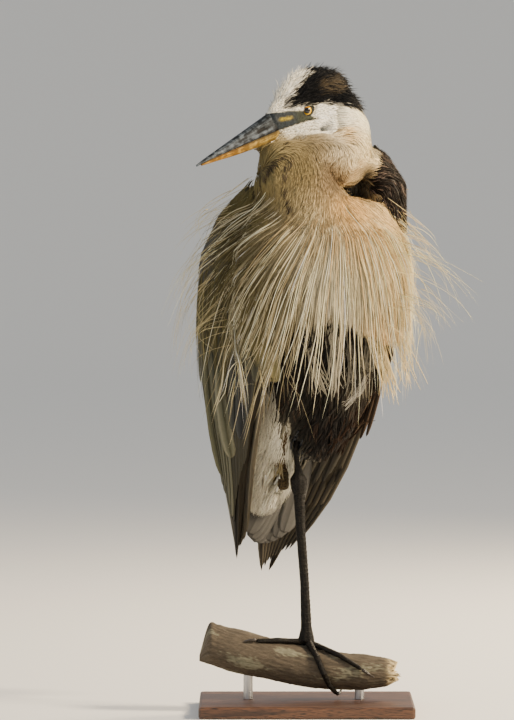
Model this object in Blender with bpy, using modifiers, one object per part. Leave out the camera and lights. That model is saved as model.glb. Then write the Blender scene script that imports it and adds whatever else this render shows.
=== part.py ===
"""A life-size great blue heron, at rest on one leg on a short cut of branch, on a plain display stand.

Metres, +Z up. The origin is the middle of the base's underside. The bird's breast faces -Y, turned
towards +X, and its head is turned towards -X. Trunk, wings and tail are set out in the bird's own
frame (forward, left, height) from the foot; neck and head follow the turn of the neck.
"""

import math

import bmesh
import bpy
import numpy as np
from mathutils import Matrix, Vector

GAP = 0.0004  # clearance between neighbouring pieces

# Stand and perch
BASE_SIZE = (0.250, 0.190, 0.014)
BASE_CORNER = 0.040
ROD_RADIUS = 0.0055
ROD_PLACES = (-0.068, 0.062)
PERCH_RADIUS = 0.024
PERCH_TAPER = 0.0080  # lost from the radius by the broken end
PERCH_ENDS = (-0.120, 0.104)
PERCH_SLOPE = -0.19
PERCH_BOW = 0.5
SOLE = 0.076  # height of the perch's top, under the foot

# Directions of the bird
BODY_TURN = math.radians(25)
HEAD_TURN = math.radians(42)
HEAD_PITCH = math.radians(18)
HEAD_PLACE = Vector((-0.010, -0.022, 0.701))  # midway between the eyes

# Bill, from the eyes forward
BILL_LENGTH = 0.169
FACE = 0.046  # where the bill starts, ahead of the eyes
EYE_RADIUS = 0.0075
EYE_APART = 0.0135
MOUTH_LEVEL = -0.0105

# Legs
ANKLE = Vector((-0.009, 0.014, 0.268))
TOE_RADIUS = 0.0035
CLAW_LENGTH = 0.015

UP = Vector((0, 0, 1))
FORWARD = Vector((math.sin(BODY_TURN), -math.cos(BODY_TURN), 0))
LEFT = Vector((math.cos(BODY_TURN), math.sin(BODY_TURN), 0))
HEAD_FORWARD = Vector(
    (
        -math.cos(HEAD_TURN) * math.cos(HEAD_PITCH),
        -math.sin(HEAD_TURN) * math.cos(HEAD_PITCH),
        -math.sin(HEAD_PITCH),
    )
)
HEAD_LEFT = Vector((math.sin(HEAD_TURN), -math.cos(HEAD_TURN), 0))
HEAD_UP = HEAD_FORWARD.cross(HEAD_LEFT)

# Levels of the trunk with its feathers: forward, left, height, half width, breast depth, back depth
TRUNK = (
    (0.006, 0.004, 0.604, 0.040, 0.040, 0.045),
    (0.010, 0.002, 0.585, 0.064, 0.054, 0.062),
    (0.011, 0.000, 0.555, 0.079, 0.068, 0.078),
    (0.007, -0.002, 0.515, 0.086, 0.080, 0.086),
    (-0.002, -0.003, 0.470, 0.087, 0.082, 0.086),
    (-0.014, -0.003, 0.425, 0.081, 0.076, 0.080),
    (-0.028, -0.004, 0.380, 0.067, 0.066, 0.071),
    (-0.044, -0.008, 0.338, 0.053, 0.054, 0.058),
    (-0.060, -0.012, 0.300, 0.042, 0.042, 0.044),
    (-0.076, -0.014, 0.265, 0.030, 0.026, 0.028),
    (-0.089, -0.015, 0.240, 0.018, 0.013, 0.014),
)

# Levels of the wings: forward, left, height, half chord, outer and inner half thickness, turn of the chord
WING_RIGHT = (
    (0.000, -0.070, 0.604, 0.030, 0.012, 0.020, 0.12),
    (0.000, -0.080, 0.582, 0.056, 0.016, 0.024, 0.12),
    (-0.005, -0.092, 0.535, 0.070, 0.018, 0.026, 0.12),
    (-0.010, -0.094, 0.485, 0.074, 0.017, 0.024, 0.12),
    (-0.018, -0.091, 0.427, 0.076, 0.015, 0.018, 0.12),
    (-0.025, -0.086, 0.387, 0.078, 0.012, 0.012, 0.12),
    (-0.034, -0.084, 0.347, 0.062, 0.009, 0.009, 0.12),
    (-0.052, -0.072, 0.293, 0.040, 0.007, 0.006, 0.12),
    (-0.068, -0.061, 0.240, 0.025, 0.006, 0.005, 0.12),
    (-0.077, -0.054, 0.209, 0.018, 0.005, 0.004, 0.12),
    (-0.086, -0.050, 0.178, 0.009, 0.003, 0.003, 0.12),
)
WING_LEFT = (
    (0.000, 0.084, 0.646, 0.034, 0.020, 0.026, 0),
    (-0.002, 0.096, 0.615, 0.060, 0.024, 0.030, 0),
    (-0.006, 0.098, 0.565, 0.072, 0.020, 0.028, 0),
    (-0.010, 0.096, 0.500, 0.075, 0.017, 0.024, 0.02),
    (-0.020, 0.086, 0.439, 0.074, 0.014, 0.018, 0.10),
    (-0.048, 0.065, 0.370, 0.073, 0.010, 0.013, 0.36),
    (-0.078, 0.046, 0.312, 0.062, 0.008, 0.008, 0.74),
    (-0.106, 0.038, 0.255, 0.049, 0.005, 0.005, 1.12),
    (-0.121, 0.026, 0.203, 0.031, 0.004, 0.004, 1.05),
    (-0.130, 0.014, 0.159, 0.010, 0.003, 0.003, 0.95),
)

COLOURS = {
    "slate": (0.16, 0.16, 0.15),
    "flight": (0.045, 0.045, 0.05),
    "buff": (0.50, 0.43, 0.33),
    "cream": (0.72, 0.64, 0.47),
    "white": (0.80, 0.78, 0.70),
    "sooty": (0.04, 0.035, 0.03),
    "bill_grey": (0.13, 0.15, 0.18),
    "bill_horn": (0.55, 0.30, 0.08),
    "eye": (0.80, 0.50, 0.05),
    "leg": (0.05, 0.045, 0.045),
    "bark": (0.12, 0.085, 0.055),
    "base": (0.10, 0.07, 0.05),
    "metal": (0.25, 0.25, 0.26),
}


def clear_scene():
    for obj in list(bpy.data.objects):
        bpy.data.objects.remove(obj, do_unlink=True)


def new_collection(name):
    made = bpy.data.collections.new(name)
    bpy.context.scene.collection.children.link(made)
    return made


def finish_of(name):
    """The material of that colour, made once."""
    found = bpy.data.materials.get(name)
    if found:
        return found
    made = bpy.data.materials.new(name)
    made.use_nodes = True
    shader = made.node_tree.nodes["Principled BSDF"]
    shader.inputs["Base Color"].default_value = (*COLOURS[name], 1)
    shader.inputs["Roughness"].default_value = 0.35 if name in ("eye", "metal") else 0.7
    shader.inputs["Metallic"].default_value = 1.0 if name == "metal" else 0.0
    return made


def in_place(forward, left, height):
    """A point of the bird's frame, in the world."""
    return FORWARD * forward + LEFT * left + UP * height


def on_head(forward, left, up):
    """A point measured from midway between the eyes, in the world."""
    return HEAD_PLACE + HEAD_FORWARD * forward + HEAD_LEFT * left + HEAD_UP * up


def smooth_rows(rows, steps):
    """Rows of numbers with smoothly curved ones between them, by Catmull and Rom's rule."""
    rows = np.array(rows, float)
    padded = np.vstack([2 * rows[0] - rows[1], rows, 2 * rows[-1] - rows[-2]])
    made = []
    for before, start, end, after in zip(padded, padded[1:], padded[2:], padded[3:]):
        for t in np.arange(steps) / steps:
            made.append(
                0.5
                * (
                    2 * start
                    + (end - before) * t
                    + (2 * before - 5 * start + 4 * end - after) * t**2
                    + (3 * start - before - 3 * end + after) * t**3
                )
            )
    made.append(rows[-1])
    return np.array(made)


def add_mesh(name, points, faces, finish, home):
    """A closed mesh object of triangles, its faces turned outwards and shaded smooth."""
    mesh = bpy.data.meshes.new(name)
    mesh.from_pydata([tuple(p) for p in points], [], faces)
    shape = bmesh.new()
    shape.from_mesh(mesh)
    bmesh.ops.triangulate(shape, faces=shape.faces[:])
    if shape.calc_volume(signed=True) < 0:
        bmesh.ops.reverse_faces(shape, faces=shape.faces[:])
    shape.to_mesh(mesh)
    shape.free()
    mesh.materials.append(finish_of(finish))
    mesh.shade_smooth()
    obj = bpy.data.objects.new(name, mesh)
    home.objects.link(obj)
    return obj


def skin_over(name, rings, finish, home):
    """A closed body through rings of equal count, with a point at the middle of each end."""
    count = len(rings[0])
    points = [p for ring in rings for p in ring]
    faces = []
    for row in range(len(rings) - 1):
        for k in range(count):
            a, b = row * count + k, row * count + (k + 1) % count
            faces.append((a, b, b + count, a + count))
    for ring, first in ((rings[0], 0), (rings[-1], (len(rings) - 1) * count)):
        middle = len(points)
        points.append(sum(ring, Vector()) / count)
        for k in range(count):
            a, b = first + k, first + (k + 1) % count
            faces.append((b, a, middle) if first == 0 else (a, b, middle))
    return add_mesh(name, points, faces, finish, home)


def oval(width, front, back, sides, power, bend):
    """Points (across, out) round a section; a power over 2 squares it, and bend curls its two edges back."""
    made = []
    for k in range(sides):
        c, s = math.cos(2 * math.pi * k / sides), math.sin(2 * math.pi * k / sides)
        across = math.copysign(abs(c) ** (2 / power), c)
        out = math.copysign(abs(s) ** (2 / power), s) * (front if s > 0 else back)
        made.append((width * across, out - bend * across**2))
    return made


def loft(name, finish, home, levels, side, axis=None, sides=16, steps=1, power=2.0, bend=0.0, caps=(0, 0)):
    """A body through levels (point, half width, front depth, back depth, turn of the section in radians).

    Sections stand square to the path, or to the axis if one is given. Caps are the lengths by which
    the two ends are rounded off beyond the first and last level.
    """
    rows = smooth_rows([(*p[0], *p[1:4], p[4] if len(p) > 4 else 0) for p in levels], steps)
    centres = [Vector(r[:3]) for r in rows]
    tangents = []
    for k in range(len(rows)):
        along = centres[min(k + 1, len(rows) - 1)] - centres[max(k - 1, 0)]
        tangents.append(axis.normalized() if axis else along.normalized())

    def ring(k, size=1.0, push=0.0):
        t = tangents[k]
        path = (centres[min(k + 1, len(rows) - 1)] - centres[max(k - 1, 0)]).normalized()
        across = Matrix.Rotation(rows[k][6], 3, t) @ side
        across = (across - t * across.dot(t)).normalized()
        out = across.cross(t)
        middle = centres[k] + path * push
        width, front, back = (x * size for x in rows[k][3:6])
        return [
            middle + across * a + out * b
            for a, b in oval(width, front, back, sides, power, bend * size)
        ]

    rings = []
    for angle in (75, 45):
        if caps[0]:
            a = math.radians(angle)
            rings.append(ring(0, math.cos(a), -caps[0] * math.sin(a)))
    rings += [ring(k) for k in range(len(rows))]
    for angle in (45, 75):
        if caps[1]:
            a = math.radians(angle)
            rings.append(ring(len(rows) - 1, math.cos(a), caps[1] * math.sin(a)))
    return skin_over(name, rings, finish, home)


def keep_clear(obj, cutters, *neighbours, by=GAP):
    """Cuts from obj the space that its neighbours take, and the gap round them."""
    for other in neighbours:
        tool = bpy.data.objects.new(f"room_for_{other.name}_in_{obj.name}", other.data)
        cutters.objects.link(tool)
        tool.location = other.location
        tool.hide_render = True
        tool.display_type = "WIRE"
        grow = tool.modifiers.new("grow", "DISPLACE")
        grow.mid_level = 0
        grow.strength = by
        cut = obj.modifiers.new(f"clear_of_{other.name}", "BOOLEAN")
        cut.operation = "DIFFERENCE"
        cut.object = tool


def bird_levels(rows):
    return [(in_place(*row[:3]), *row[3:]) for row in rows]


def make_trunk(home):
    return loft(
        "trunk", "slate", home, bird_levels(TRUNK), LEFT, axis=UP, sides=18, power=2.15, caps=(0.010, 0.012)
    )


def make_wings(home):
    right = loft(
        "wing_right", "slate", home, bird_levels(WING_RIGHT), FORWARD, axis=UP, sides=14, power=2.3,
        bend=0.006, caps=(0.012, 0.010),
    )
    left = loft(
        "wing_left", "slate", home, bird_levels(WING_LEFT), -FORWARD, axis=UP, sides=14, power=2.3,
        bend=0.012, caps=(0.012, 0.010),
    )
    return right, left


def make_tail(home):
    levels = [
        (in_place(-0.080, 0.002, 0.292), 0.030, 0.007, 0.007),
        (in_place(-0.091, 0.006, 0.264), 0.036, 0.005, 0.005),
        (in_place(-0.098, 0.005, 0.236), 0.032, 0.004, 0.004),
        (in_place(-0.102, 0.000, 0.213), 0.023, 0.003, 0.003),
        (in_place(-0.104, -0.005, 0.199), 0.012, 0.002, 0.002),
    ]
    return loft("tail", "slate", home, levels, LEFT, sides=12, power=2.3, bend=0.004, caps=(0.004, 0.006))


# Levels of the hanging breast plumes: forward, height, half width right and left, depth ahead
BIB = (
    (0.020, 0.606, 0.058, 0.060, 0.040),
    (0.018, 0.590, 0.088, 0.088, 0.066),
    (0.012, 0.560, 0.110, 0.110, 0.088),
    (0.006, 0.520, 0.119, 0.118, 0.100),
    (0.002, 0.470, 0.121, 0.118, 0.104),
    (0.000, 0.425, 0.116, 0.110, 0.101),
    (0.000, 0.385, 0.106, 0.098, 0.096),
    (0.000, 0.350, 0.098, 0.090, 0.092),
)
BIB_SQUARE = 2.4
BIB_FROM, BIB_TO = math.radians(-70), math.radians(80)
BIB_TOP = 0.602
BIB_LOCKS = 9
BIB_THICK = 0.012


def bib_point(angle, height, inward):
    """A point of the hanging breast plumes: angle from straight ahead, positive to the left."""
    levels = np.array(BIB)[::-1]
    forward, right, left, depth = (np.interp(height, levels[:, 1], levels[:, k]) for k in (0, 2, 3, 4))
    c, s = math.cos(angle), math.sin(angle)
    c, s = (math.copysign(abs(x) ** (2 / BIB_SQUARE), x) for x in (c, s))
    width = left if s > 0 else right
    return in_place(forward + (depth - inward) * c, (width - inward) * s, height)


def make_bib(home):
    """The long plumes of the breast, hanging over breast and wing bends in pointed locks."""
    columns, rows = BIB_LOCKS * 2 + 1, 6
    outer, inner = [], []
    for c in range(columns):
        share = c / (columns - 1)
        angle = BIB_FROM + (BIB_TO - BIB_FROM) * share
        lock = (c + 1) % 2
        edge = abs(2 * share - 1)
        bottom = 0.360 + 0.034 * lock + 0.050 * edge**2
        top = BIB_TOP - 0.022 * edge**2
        for r in range(rows):
            down = r / (rows - 1)
            height = top + (bottom - top) * down
            thick = BIB_THICK * math.sin(math.pi * min(down * 0.8 + 0.2, 1)) + 0.0012
            thick *= 1 - 0.35 * lock * down
            outer.append(bib_point(angle, height, 0.0))
            inner.append(bib_point(angle, height, thick))
    points = outer + inner
    half = len(outer)
    faces = []
    for c in range(columns - 1):
        for r in range(rows - 1):
            a, b = c * rows + r, (c + 1) * rows + r
            faces.append((a, b, b + 1, a + 1))
            faces.append((half + a, half + a + 1, half + b + 1, half + b))
        for r in (0, rows - 1):
            a, b = c * rows + r, (c + 1) * rows + r
            faces.append((a, half + a, half + b, b) if r == 0 else (a, b, half + b, half + a))
    for c in (0, columns - 1):
        for r in range(rows - 1):
            a = c * rows + r
            faces.append((a, a + 1, half + a + 1, half + a) if c == 0 else (a, half + a, half + a + 1, a + 1))
    return add_mesh("breast_plumes", points, faces, "cream", home)


# Plume locks that stand clear of the body: root, elbow, tip and half width at the root
LOCKS_RIGHT = (
    ((-0.074, -0.020, 0.592), (-0.114, -0.034, 0.586), (-0.148, -0.046, 0.548), 0.009),
    ((-0.100, -0.030, 0.556), (-0.142, -0.048, 0.515), (-0.171, -0.052, 0.456), 0.011),
    ((-0.104, -0.020, 0.520), (-0.145, -0.038, 0.470), (-0.160, -0.042, 0.404), 0.010),
    ((-0.090, -0.048, 0.490), (-0.133, -0.066, 0.445), (-0.147, -0.072, 0.395), 0.008),
)
LOCKS_LEFT = (
    ((0.109, -0.022, 0.562), (0.138, -0.031, 0.548), (0.160, -0.036, 0.522), 0.007),
    ((0.109, -0.034, 0.543), (0.160, -0.052, 0.516), (0.200, -0.058, 0.474), 0.008),
    ((0.1135, -0.024, 0.512), (0.146, -0.034, 0.484), (0.172, -0.036, 0.442), 0.008),
    ((0.110, -0.040, 0.498), (0.133, -0.058, 0.458), (0.147, -0.064, 0.404), 0.008),
    ((0.1135, -0.028, 0.468), (0.125, -0.037, 0.422), (0.131, -0.040, 0.376), 0.007),
)


def make_locks(home):
    made = []
    for side, rows in (("right", LOCKS_RIGHT), ("left", LOCKS_LEFT)):
        for k, (root, elbow, tip, width) in enumerate(rows, 1):
            levels = [
                (Vector(root), width, 0.0022, 0.0022),
                (Vector(elbow), width * 0.7, 0.0018, 0.0018),
                (Vector(tip), 0.0012, 0.0006, 0.0006),
            ]
            made.append(
                loft(f"plume_{side}_{k}", "cream", home, levels, LEFT, sides=6, steps=2, caps=(0.003, 0))
            )
    return made


def make_neck(home):
    """Three lengths: up from the breast, back over the fold, and up to the head."""
    lower = loft(
        "neck_lower", "buff", home,
        [
            (Vector((0.012, -0.022, 0.505)), 0.056, 0.052, 0.050),
            (Vector((0.006, -0.044, 0.548)), 0.058, 0.050, 0.048),
            (Vector((-0.008, -0.058, 0.590)), 0.053, 0.043, 0.042),
            (Vector((-0.020, -0.062, 0.624)), 0.044, 0.036, 0.036),
            (Vector((-0.022, -0.054, 0.650)), 0.033, 0.027, 0.030),
        ],
        LEFT, sides=16, caps=(0.010, 0.014),
    )
    middle = loft(
        "neck_middle", "buff", home,
        [
            (Vector((-0.006, -0.044, 0.643)), 0.030, 0.032, 0.032),
            (Vector((0.012, -0.028, 0.645)), 0.031, 0.033, 0.033),
            (Vector((0.032, -0.008, 0.639)), 0.032, 0.034, 0.034),
        ],
        UP, sides=14, caps=(0.018, 0.020),
    )
    upper = loft(
        "neck_upper", "buff", home,
        [
            (Vector((0.038, -0.002, 0.630)), 0.030, 0.030, 0.028),
            (Vector((0.045, 0.008, 0.652)), 0.033, 0.032, 0.031),
            (Vector((0.042, 0.011, 0.678)), 0.033, 0.032, 0.031),
            (Vector((0.033, 0.008, 0.700)), 0.029, 0.032, 0.028),
            (Vector((0.026, 0.004, 0.714)), 0.024, 0.027, 0.025),
        ],
        HEAD_LEFT, sides=16, caps=(0.018, 0.008),
    )
    return lower, middle, upper


def head_levels(rows):
    """Levels along the head: forward of the eyes, half width, top, bottom; the section's middle lies between."""
    made = []
    for forward, width, top, bottom in rows:
        middle = (top + bottom) / 2
        made.append((on_head(forward, 0, middle), width, top - middle, middle - bottom))
    return made


def make_head(home):
    head = loft(
        "head", "white", home,
        head_levels(
            [
                (FACE, 0.0090, 0.0125, -0.0250),
                (0.034, 0.0125, 0.0200, -0.0280),
                (0.018, 0.0165, 0.0300, -0.0290),
                (0.000, 0.0195, 0.0380, -0.0300),
                (-0.018, 0.0240, 0.0410, -0.0320),
                (-0.036, 0.0260, 0.0390, -0.0320),
                (-0.052, 0.0230, 0.0330, -0.0240),
                (-0.066, 0.0150, 0.0230, -0.0090),
            ]
        ),
        HEAD_LEFT, axis=-HEAD_FORWARD, sides=16, power=2.1, caps=(0, 0.010),
    )
    chin = loft(
        "chin", "white", home,
        head_levels(
            [
                (0.078, 0.0030, -0.0215, -0.0245),
                (0.068, 0.0060, -0.0215, -0.0275),
                (0.057, 0.0082, -0.0215, -0.0295),
                (FACE + GAP, 0.0098, -0.0200, -0.0305),
            ]
        ),
        HEAD_LEFT, axis=-HEAD_FORWARD, sides=12, caps=(0.003, 0),
    )
    return head, chin


def make_bill(home):
    upper = loft(
        "bill_upper", "bill_grey", home,
        head_levels(
            [
                (FACE + GAP, 0.0100, 0.0105, MOUTH_LEVEL),
                (0.075, 0.0085, 0.0052, MOUTH_LEVEL - 0.0002),
                (0.105, 0.0066, -0.0002, MOUTH_LEVEL - 0.0006),
                (0.135, 0.0044, -0.0056, MOUTH_LEVEL - 0.0012),
                (0.156, 0.0026, -0.0094, MOUTH_LEVEL - 0.0020),
                (BILL_LENGTH, 0.0009, -0.0122, MOUTH_LEVEL - 0.0034),
            ]
        ),
        HEAD_LEFT, axis=-HEAD_FORWARD, sides=14, power=1.9,
    )
    lower = loft(
        "bill_lower", "bill_horn", home,
        head_levels(
            [
                (FACE + GAP, 0.0094, MOUTH_LEVEL - 0.0006, -0.0224),
                (0.080, 0.0078, MOUTH_LEVEL - 0.0008, -0.0215),
                (0.110, 0.0060, MOUTH_LEVEL - 0.0012, -0.0200),
                (0.138, 0.0038, MOUTH_LEVEL - 0.0018, -0.0176),
                (0.162, 0.0010, MOUTH_LEVEL - 0.0036, -0.0156),
            ]
        ),
        HEAD_LEFT, axis=-HEAD_FORWARD, sides=12, power=2.0,
    )
    return upper, lower


def make_ball(name, place, radius, finish, home):
    bpy.ops.mesh.primitive_uv_sphere_add(segments=12, ring_count=8, radius=radius, location=place)
    ball = bpy.context.object
    ball.name = name
    ball.data.materials.append(finish_of(finish))
    ball.data.shade_smooth()
    for other in ball.users_collection:
        other.objects.unlink(ball)
    home.objects.link(ball)
    return ball


def make_eyes(home):
    return [
        make_ball(f"eye_{side}", on_head(0, sign * EYE_APART, 0), EYE_RADIUS, "eye", home)
        for side, sign in (("left", 1), ("right", -1))
    ]


def make_legs(home):
    """The standing left leg and the drawn-up right one, of which the heel joint shows."""
    thigh = loft(
        "thigh_left", "sooty", home,
        [
            (Vector((0.048, 0.000, 0.405)), 0.030, 0.030, 0.030),
            (Vector((0.034, 0.002, 0.370)), 0.036, 0.033, 0.034),
            (Vector((0.020, 0.006, 0.336)), 0.033, 0.030, 0.030),
            (Vector((0.008, 0.009, 0.306)), 0.020, 0.019, 0.019),
        ],
        LEFT, sides=14, caps=(0.006, 0.012),
    )
    shin = loft(
        "shin_left", "leg", home,
        [
            (Vector((-0.006, 0.007, 0.330)), 0.0062, 0.0062, 0.0062),
            (Vector((-0.013, 0.009, 0.305)), 0.0060, 0.0060, 0.0060),
            (ANKLE + Vector((-0.001, -0.001, 0.018)), 0.0068, 0.0068, 0.0068),
            (ANKLE + Vector((0, 0, 0.002)), 0.0098, 0.0092, 0.0092),
            (ANKLE + Vector((0.0008, 0.0, -0.014)), 0.0074, 0.0072, 0.0072),
        ],
        LEFT, sides=10, caps=(0.003, 0.001),
    )
    tarsus = loft(
        "tarsus_left", "leg", home,
        [
            (ANKLE + Vector((0.001, 0.000, -0.0168)), 0.0072, 0.0070, 0.0070),
            (ANKLE + Vector((0.002, -0.002, -0.050)), 0.0058, 0.0058, 0.0058),
            (Vector((-0.002, 0.003, 0.150)), 0.0055, 0.0055, 0.0055),
            (Vector((0.000, 0.000, SOLE + 0.022)), 0.0066, 0.0066, 0.0066),
            (Vector((0.000, 0.000, SOLE + 0.0075)), 0.0100, 0.0105, 0.0105),
        ],
        LEFT, sides=8, caps=(0.001, 0.005),
    )
    tucked_shin = loft(
        "shin_right", "leg", home,
        [
            (in_place(-0.043, -0.014, 0.326), 0.0064, 0.0064, 0.0064),
            (in_place(-0.046, -0.013, 0.300), 0.0064, 0.0064, 0.0064),
            (in_place(-0.047, -0.012, 0.278), 0.0084, 0.0080, 0.0078),
            (in_place(-0.046, -0.012, 0.262), 0.0088, 0.0082, 0.0070),
        ],
        LEFT, sides=12, caps=(0.003, 0.006),
    )
    tucked_tarsus = loft(
        "tarsus_right", "leg", home,
        [
            (in_place(-0.031, -0.015, 0.262), 0.0074, 0.0056, 0.0056),
            (in_place(-0.031, -0.015, 0.280), 0.0060, 0.0054, 0.0054),
            (in_place(-0.030, -0.016, 0.304), 0.0054, 0.0054, 0.0054),
            (in_place(-0.029, -0.016, 0.330), 0.0054, 0.0054, 0.0054),
        ],
        LEFT, sides=10, caps=(0.005, 0.004),
    )
    return thigh, shin, tarsus, tucked_shin, tucked_tarsus


# Toes of the standing foot: name, run along the perch, run round it towards the front, root thickness
TOES = (
    ("middle", 0.034, 0.066, 1.00),
    ("outer", 0.062, 0.026, 0.92),
    ("inner", -0.056, 0.018, 0.92),
    ("hind", -0.014, -0.044, 1.00),
)


def perch_line(x):
    """The height of the perch's axis and its radius at x."""
    radius = PERCH_RADIUS - PERCH_TAPER * max(0, x / PERCH_ENDS[1]) ** 1.5
    return SOLE + PERCH_SLOPE * x + PERCH_BOW * x * x - radius, radius


def round_perch(along, around, lift):
    """A point that lies lift above the perch's surface."""
    axis, radius = perch_line(along)
    angle = around / radius
    return Vector((along, -(radius + lift) * math.sin(angle), axis + (radius + lift) * math.cos(angle)))


def make_toes(home):
    toes, claws = [], []
    for name, along, around, size in TOES:
        length = math.hypot(along, around)
        levels = []
        for share, thick in ((0.10, 1.25), (0.35, 1.0), (0.6, 1.02), (0.8, 0.85), (1.0, 0.75)):
            radius = TOE_RADIUS * size * thick
            place = round_perch(along * share, around * share, radius + GAP)
            levels.append((place, radius, radius, radius))
        side = Vector((around, along, 0)).normalized() if abs(along) > abs(around) else Vector((1, 0, 0))
        toes.append(loft(f"toe_{name}", "leg", home, levels, side, sides=8, caps=(0.002, 0.0025)))
        end = 1 + 0.0036 / length
        tip = 1 + (0.0036 + CLAW_LENGTH) / length
        levels = []
        for share, thick, lift in ((end, 0.55, 0.0026), ((end + tip) / 2, 0.42, 0.0040), (tip, 0.10, 0.0014)):
            radius = TOE_RADIUS * size * thick
            levels.append((round_perch(along * share, around * share, radius + lift), radius, radius, radius))
        claws.append(loft(f"claw_{name}", "leg", home, levels, side, sides=6, steps=2))
    return toes, claws


def make_perch(home):
    """A cut of branch that dips to its thinner, broken end, with two old knots."""
    levels = []
    for share in np.linspace(0, 1, 13):
        x = PERCH_ENDS[0] + (PERCH_ENDS[1] - PERCH_ENDS[0]) * float(share)
        axis, radius = perch_line(x)
        knots = 0.0022 * math.exp(-(((share - 0.20) / 0.06) ** 2)) + 0.0018 * math.exp(-(((share - 0.86) / 0.05) ** 2))
        radius += knots
        levels.append((Vector((x, 0, axis)), radius, radius, radius))
    return loft("perch", "bark", home, levels, Vector((0, 1, 0)), sides=16)


def make_stand(home):
    bpy.ops.mesh.primitive_cube_add(size=1, location=(0, 0, BASE_SIZE[2] / 2))
    base = bpy.context.object
    base.name = "stand_base"
    base.scale = BASE_SIZE
    bpy.ops.object.transform_apply(location=False, rotation=False, scale=True)
    corners = base.modifiers.new("corners", "BEVEL")
    corners.width = 0.003
    corners.segments = 2
    corners.limit_method = "ANGLE"
    rods = []
    for side, x in zip(("left", "right"), ROD_PLACES):
        top = perch_line(x)[0]
        foot = BASE_SIZE[2] + GAP
        bpy.ops.mesh.primitive_cylinder_add(
            vertices=16, radius=ROD_RADIUS, depth=top - foot, location=(x, 0, (top + foot) / 2)
        )
        rod = bpy.context.object
        rod.name = f"stand_rod_{side}"
        rods.append(rod)
    for obj, finish in ((base, "base"), (rods[0], "metal"), (rods[1], "metal")):
        obj.data.materials.append(finish_of(finish))
        for other in obj.users_collection:
            other.objects.unlink(obj)
        home.objects.link(obj)
    return base, rods


def main():
    clear_scene()
    home = new_collection("great_blue_heron")
    cutters = new_collection("cutters")
    trunk = make_trunk(home)
    wing_right, wing_left = make_wings(home)
    tail = make_tail(home)
    bib = make_bib(home)
    locks = make_locks(home)
    neck_lower, neck_middle, neck_upper = make_neck(home)
    head, chin = make_head(home)
    bill_upper, bill_lower = make_bill(home)
    eyes = make_eyes(home)
    thigh, shin, tarsus, tucked_shin, tucked_tarsus = make_legs(home)
    toes, claws = make_toes(home)
    perch = make_perch(home)
    base, rods = make_stand(home)

    keep_clear(trunk, cutters, neck_lower, neck_middle, thigh, shin, tucked_shin, tucked_tarsus)
    keep_clear(neck_lower, cutters, neck_middle, chin)
    keep_clear(neck_middle, cutters, head)
    keep_clear(neck_upper, cutters, neck_middle)
    keep_clear(head, cutters, neck_upper, *eyes)
    keep_clear(chin, cutters, bill_lower)
    keep_clear(bib, cutters, neck_lower)
    keep_clear(wing_right, cutters, trunk, bib, neck_lower)
    keep_clear(wing_left, cutters, trunk, bib, neck_upper, tail)
    keep_clear(tail, cutters, trunk)
    keep_clear(thigh, cutters, shin, wing_left, tucked_tarsus)
    keep_clear(tarsus, cutters, *toes)
    for toe in toes:
        keep_clear(toe, cutters, perch)
    keep_clear(toes[1], cutters, toes[0])
    for rod in rods:
        keep_clear(rod, cutters, perch)
    for lock in locks:
        keep_clear(lock, cutters, bib, wing_right, wing_left)


main()
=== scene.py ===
import math
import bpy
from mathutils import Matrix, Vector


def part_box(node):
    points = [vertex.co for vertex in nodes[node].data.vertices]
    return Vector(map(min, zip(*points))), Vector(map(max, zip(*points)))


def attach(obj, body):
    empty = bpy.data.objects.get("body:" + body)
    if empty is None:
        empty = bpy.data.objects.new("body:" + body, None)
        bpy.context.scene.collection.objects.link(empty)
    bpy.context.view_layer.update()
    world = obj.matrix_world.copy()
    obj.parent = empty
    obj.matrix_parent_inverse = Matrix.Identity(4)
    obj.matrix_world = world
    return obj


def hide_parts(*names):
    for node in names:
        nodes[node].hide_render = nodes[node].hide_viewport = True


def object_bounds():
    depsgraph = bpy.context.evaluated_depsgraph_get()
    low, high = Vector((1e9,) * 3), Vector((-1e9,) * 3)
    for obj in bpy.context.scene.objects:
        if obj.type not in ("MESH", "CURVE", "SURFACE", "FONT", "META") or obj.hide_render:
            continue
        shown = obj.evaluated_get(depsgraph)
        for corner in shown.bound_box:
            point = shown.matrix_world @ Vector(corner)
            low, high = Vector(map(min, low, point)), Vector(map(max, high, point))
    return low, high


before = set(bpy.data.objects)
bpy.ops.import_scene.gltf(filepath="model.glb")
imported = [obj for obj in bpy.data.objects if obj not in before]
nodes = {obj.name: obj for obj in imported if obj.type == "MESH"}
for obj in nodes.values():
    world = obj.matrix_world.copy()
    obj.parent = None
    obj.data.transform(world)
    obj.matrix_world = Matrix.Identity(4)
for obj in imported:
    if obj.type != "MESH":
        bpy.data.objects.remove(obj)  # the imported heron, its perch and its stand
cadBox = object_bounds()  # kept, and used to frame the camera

from types import SimpleNamespace

import bmesh
import bpy
import numpy as np
from mathutils import Vector, noise
from mathutils.bvhtree import BVHTree

mm = 0.001
skyward = np.array((0.0, 0.0, 1.0))
bodyTurn = math.radians(25)  # the breast faces -Y, turned this far towards +X
billDroop = math.radians(4.4)  # the bill's tip lies this far below the head's own axis


# Small tools: vectors, colours, nodes and meshes

def unit(vectors):
    vectors = np.asarray(vectors, float)
    return vectors / np.maximum(np.linalg.norm(vectors, axis=-1, keepdims=True), 1e-9)


def dots(a, b):
    return np.sum(np.asarray(a) * np.asarray(b), axis=-1)


def ramp(x, low, high):
    # 0 below low, 1 above high, and smooth between them
    t = np.clip((np.asarray(x, float) - low) / (high - low), 0, 1)
    return t * t * (3 - 2 * t)


def linear(code):
    # an sRGB hex value as the linear colour that shaders work in
    parts = np.array([int(code[k:k + 2], 16) for k in (1, 3, 5)]) / 255
    return np.where(parts <= 0.04045, parts / 12.92, ((parts + 0.055) / 1.055) ** 2.4)


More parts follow.
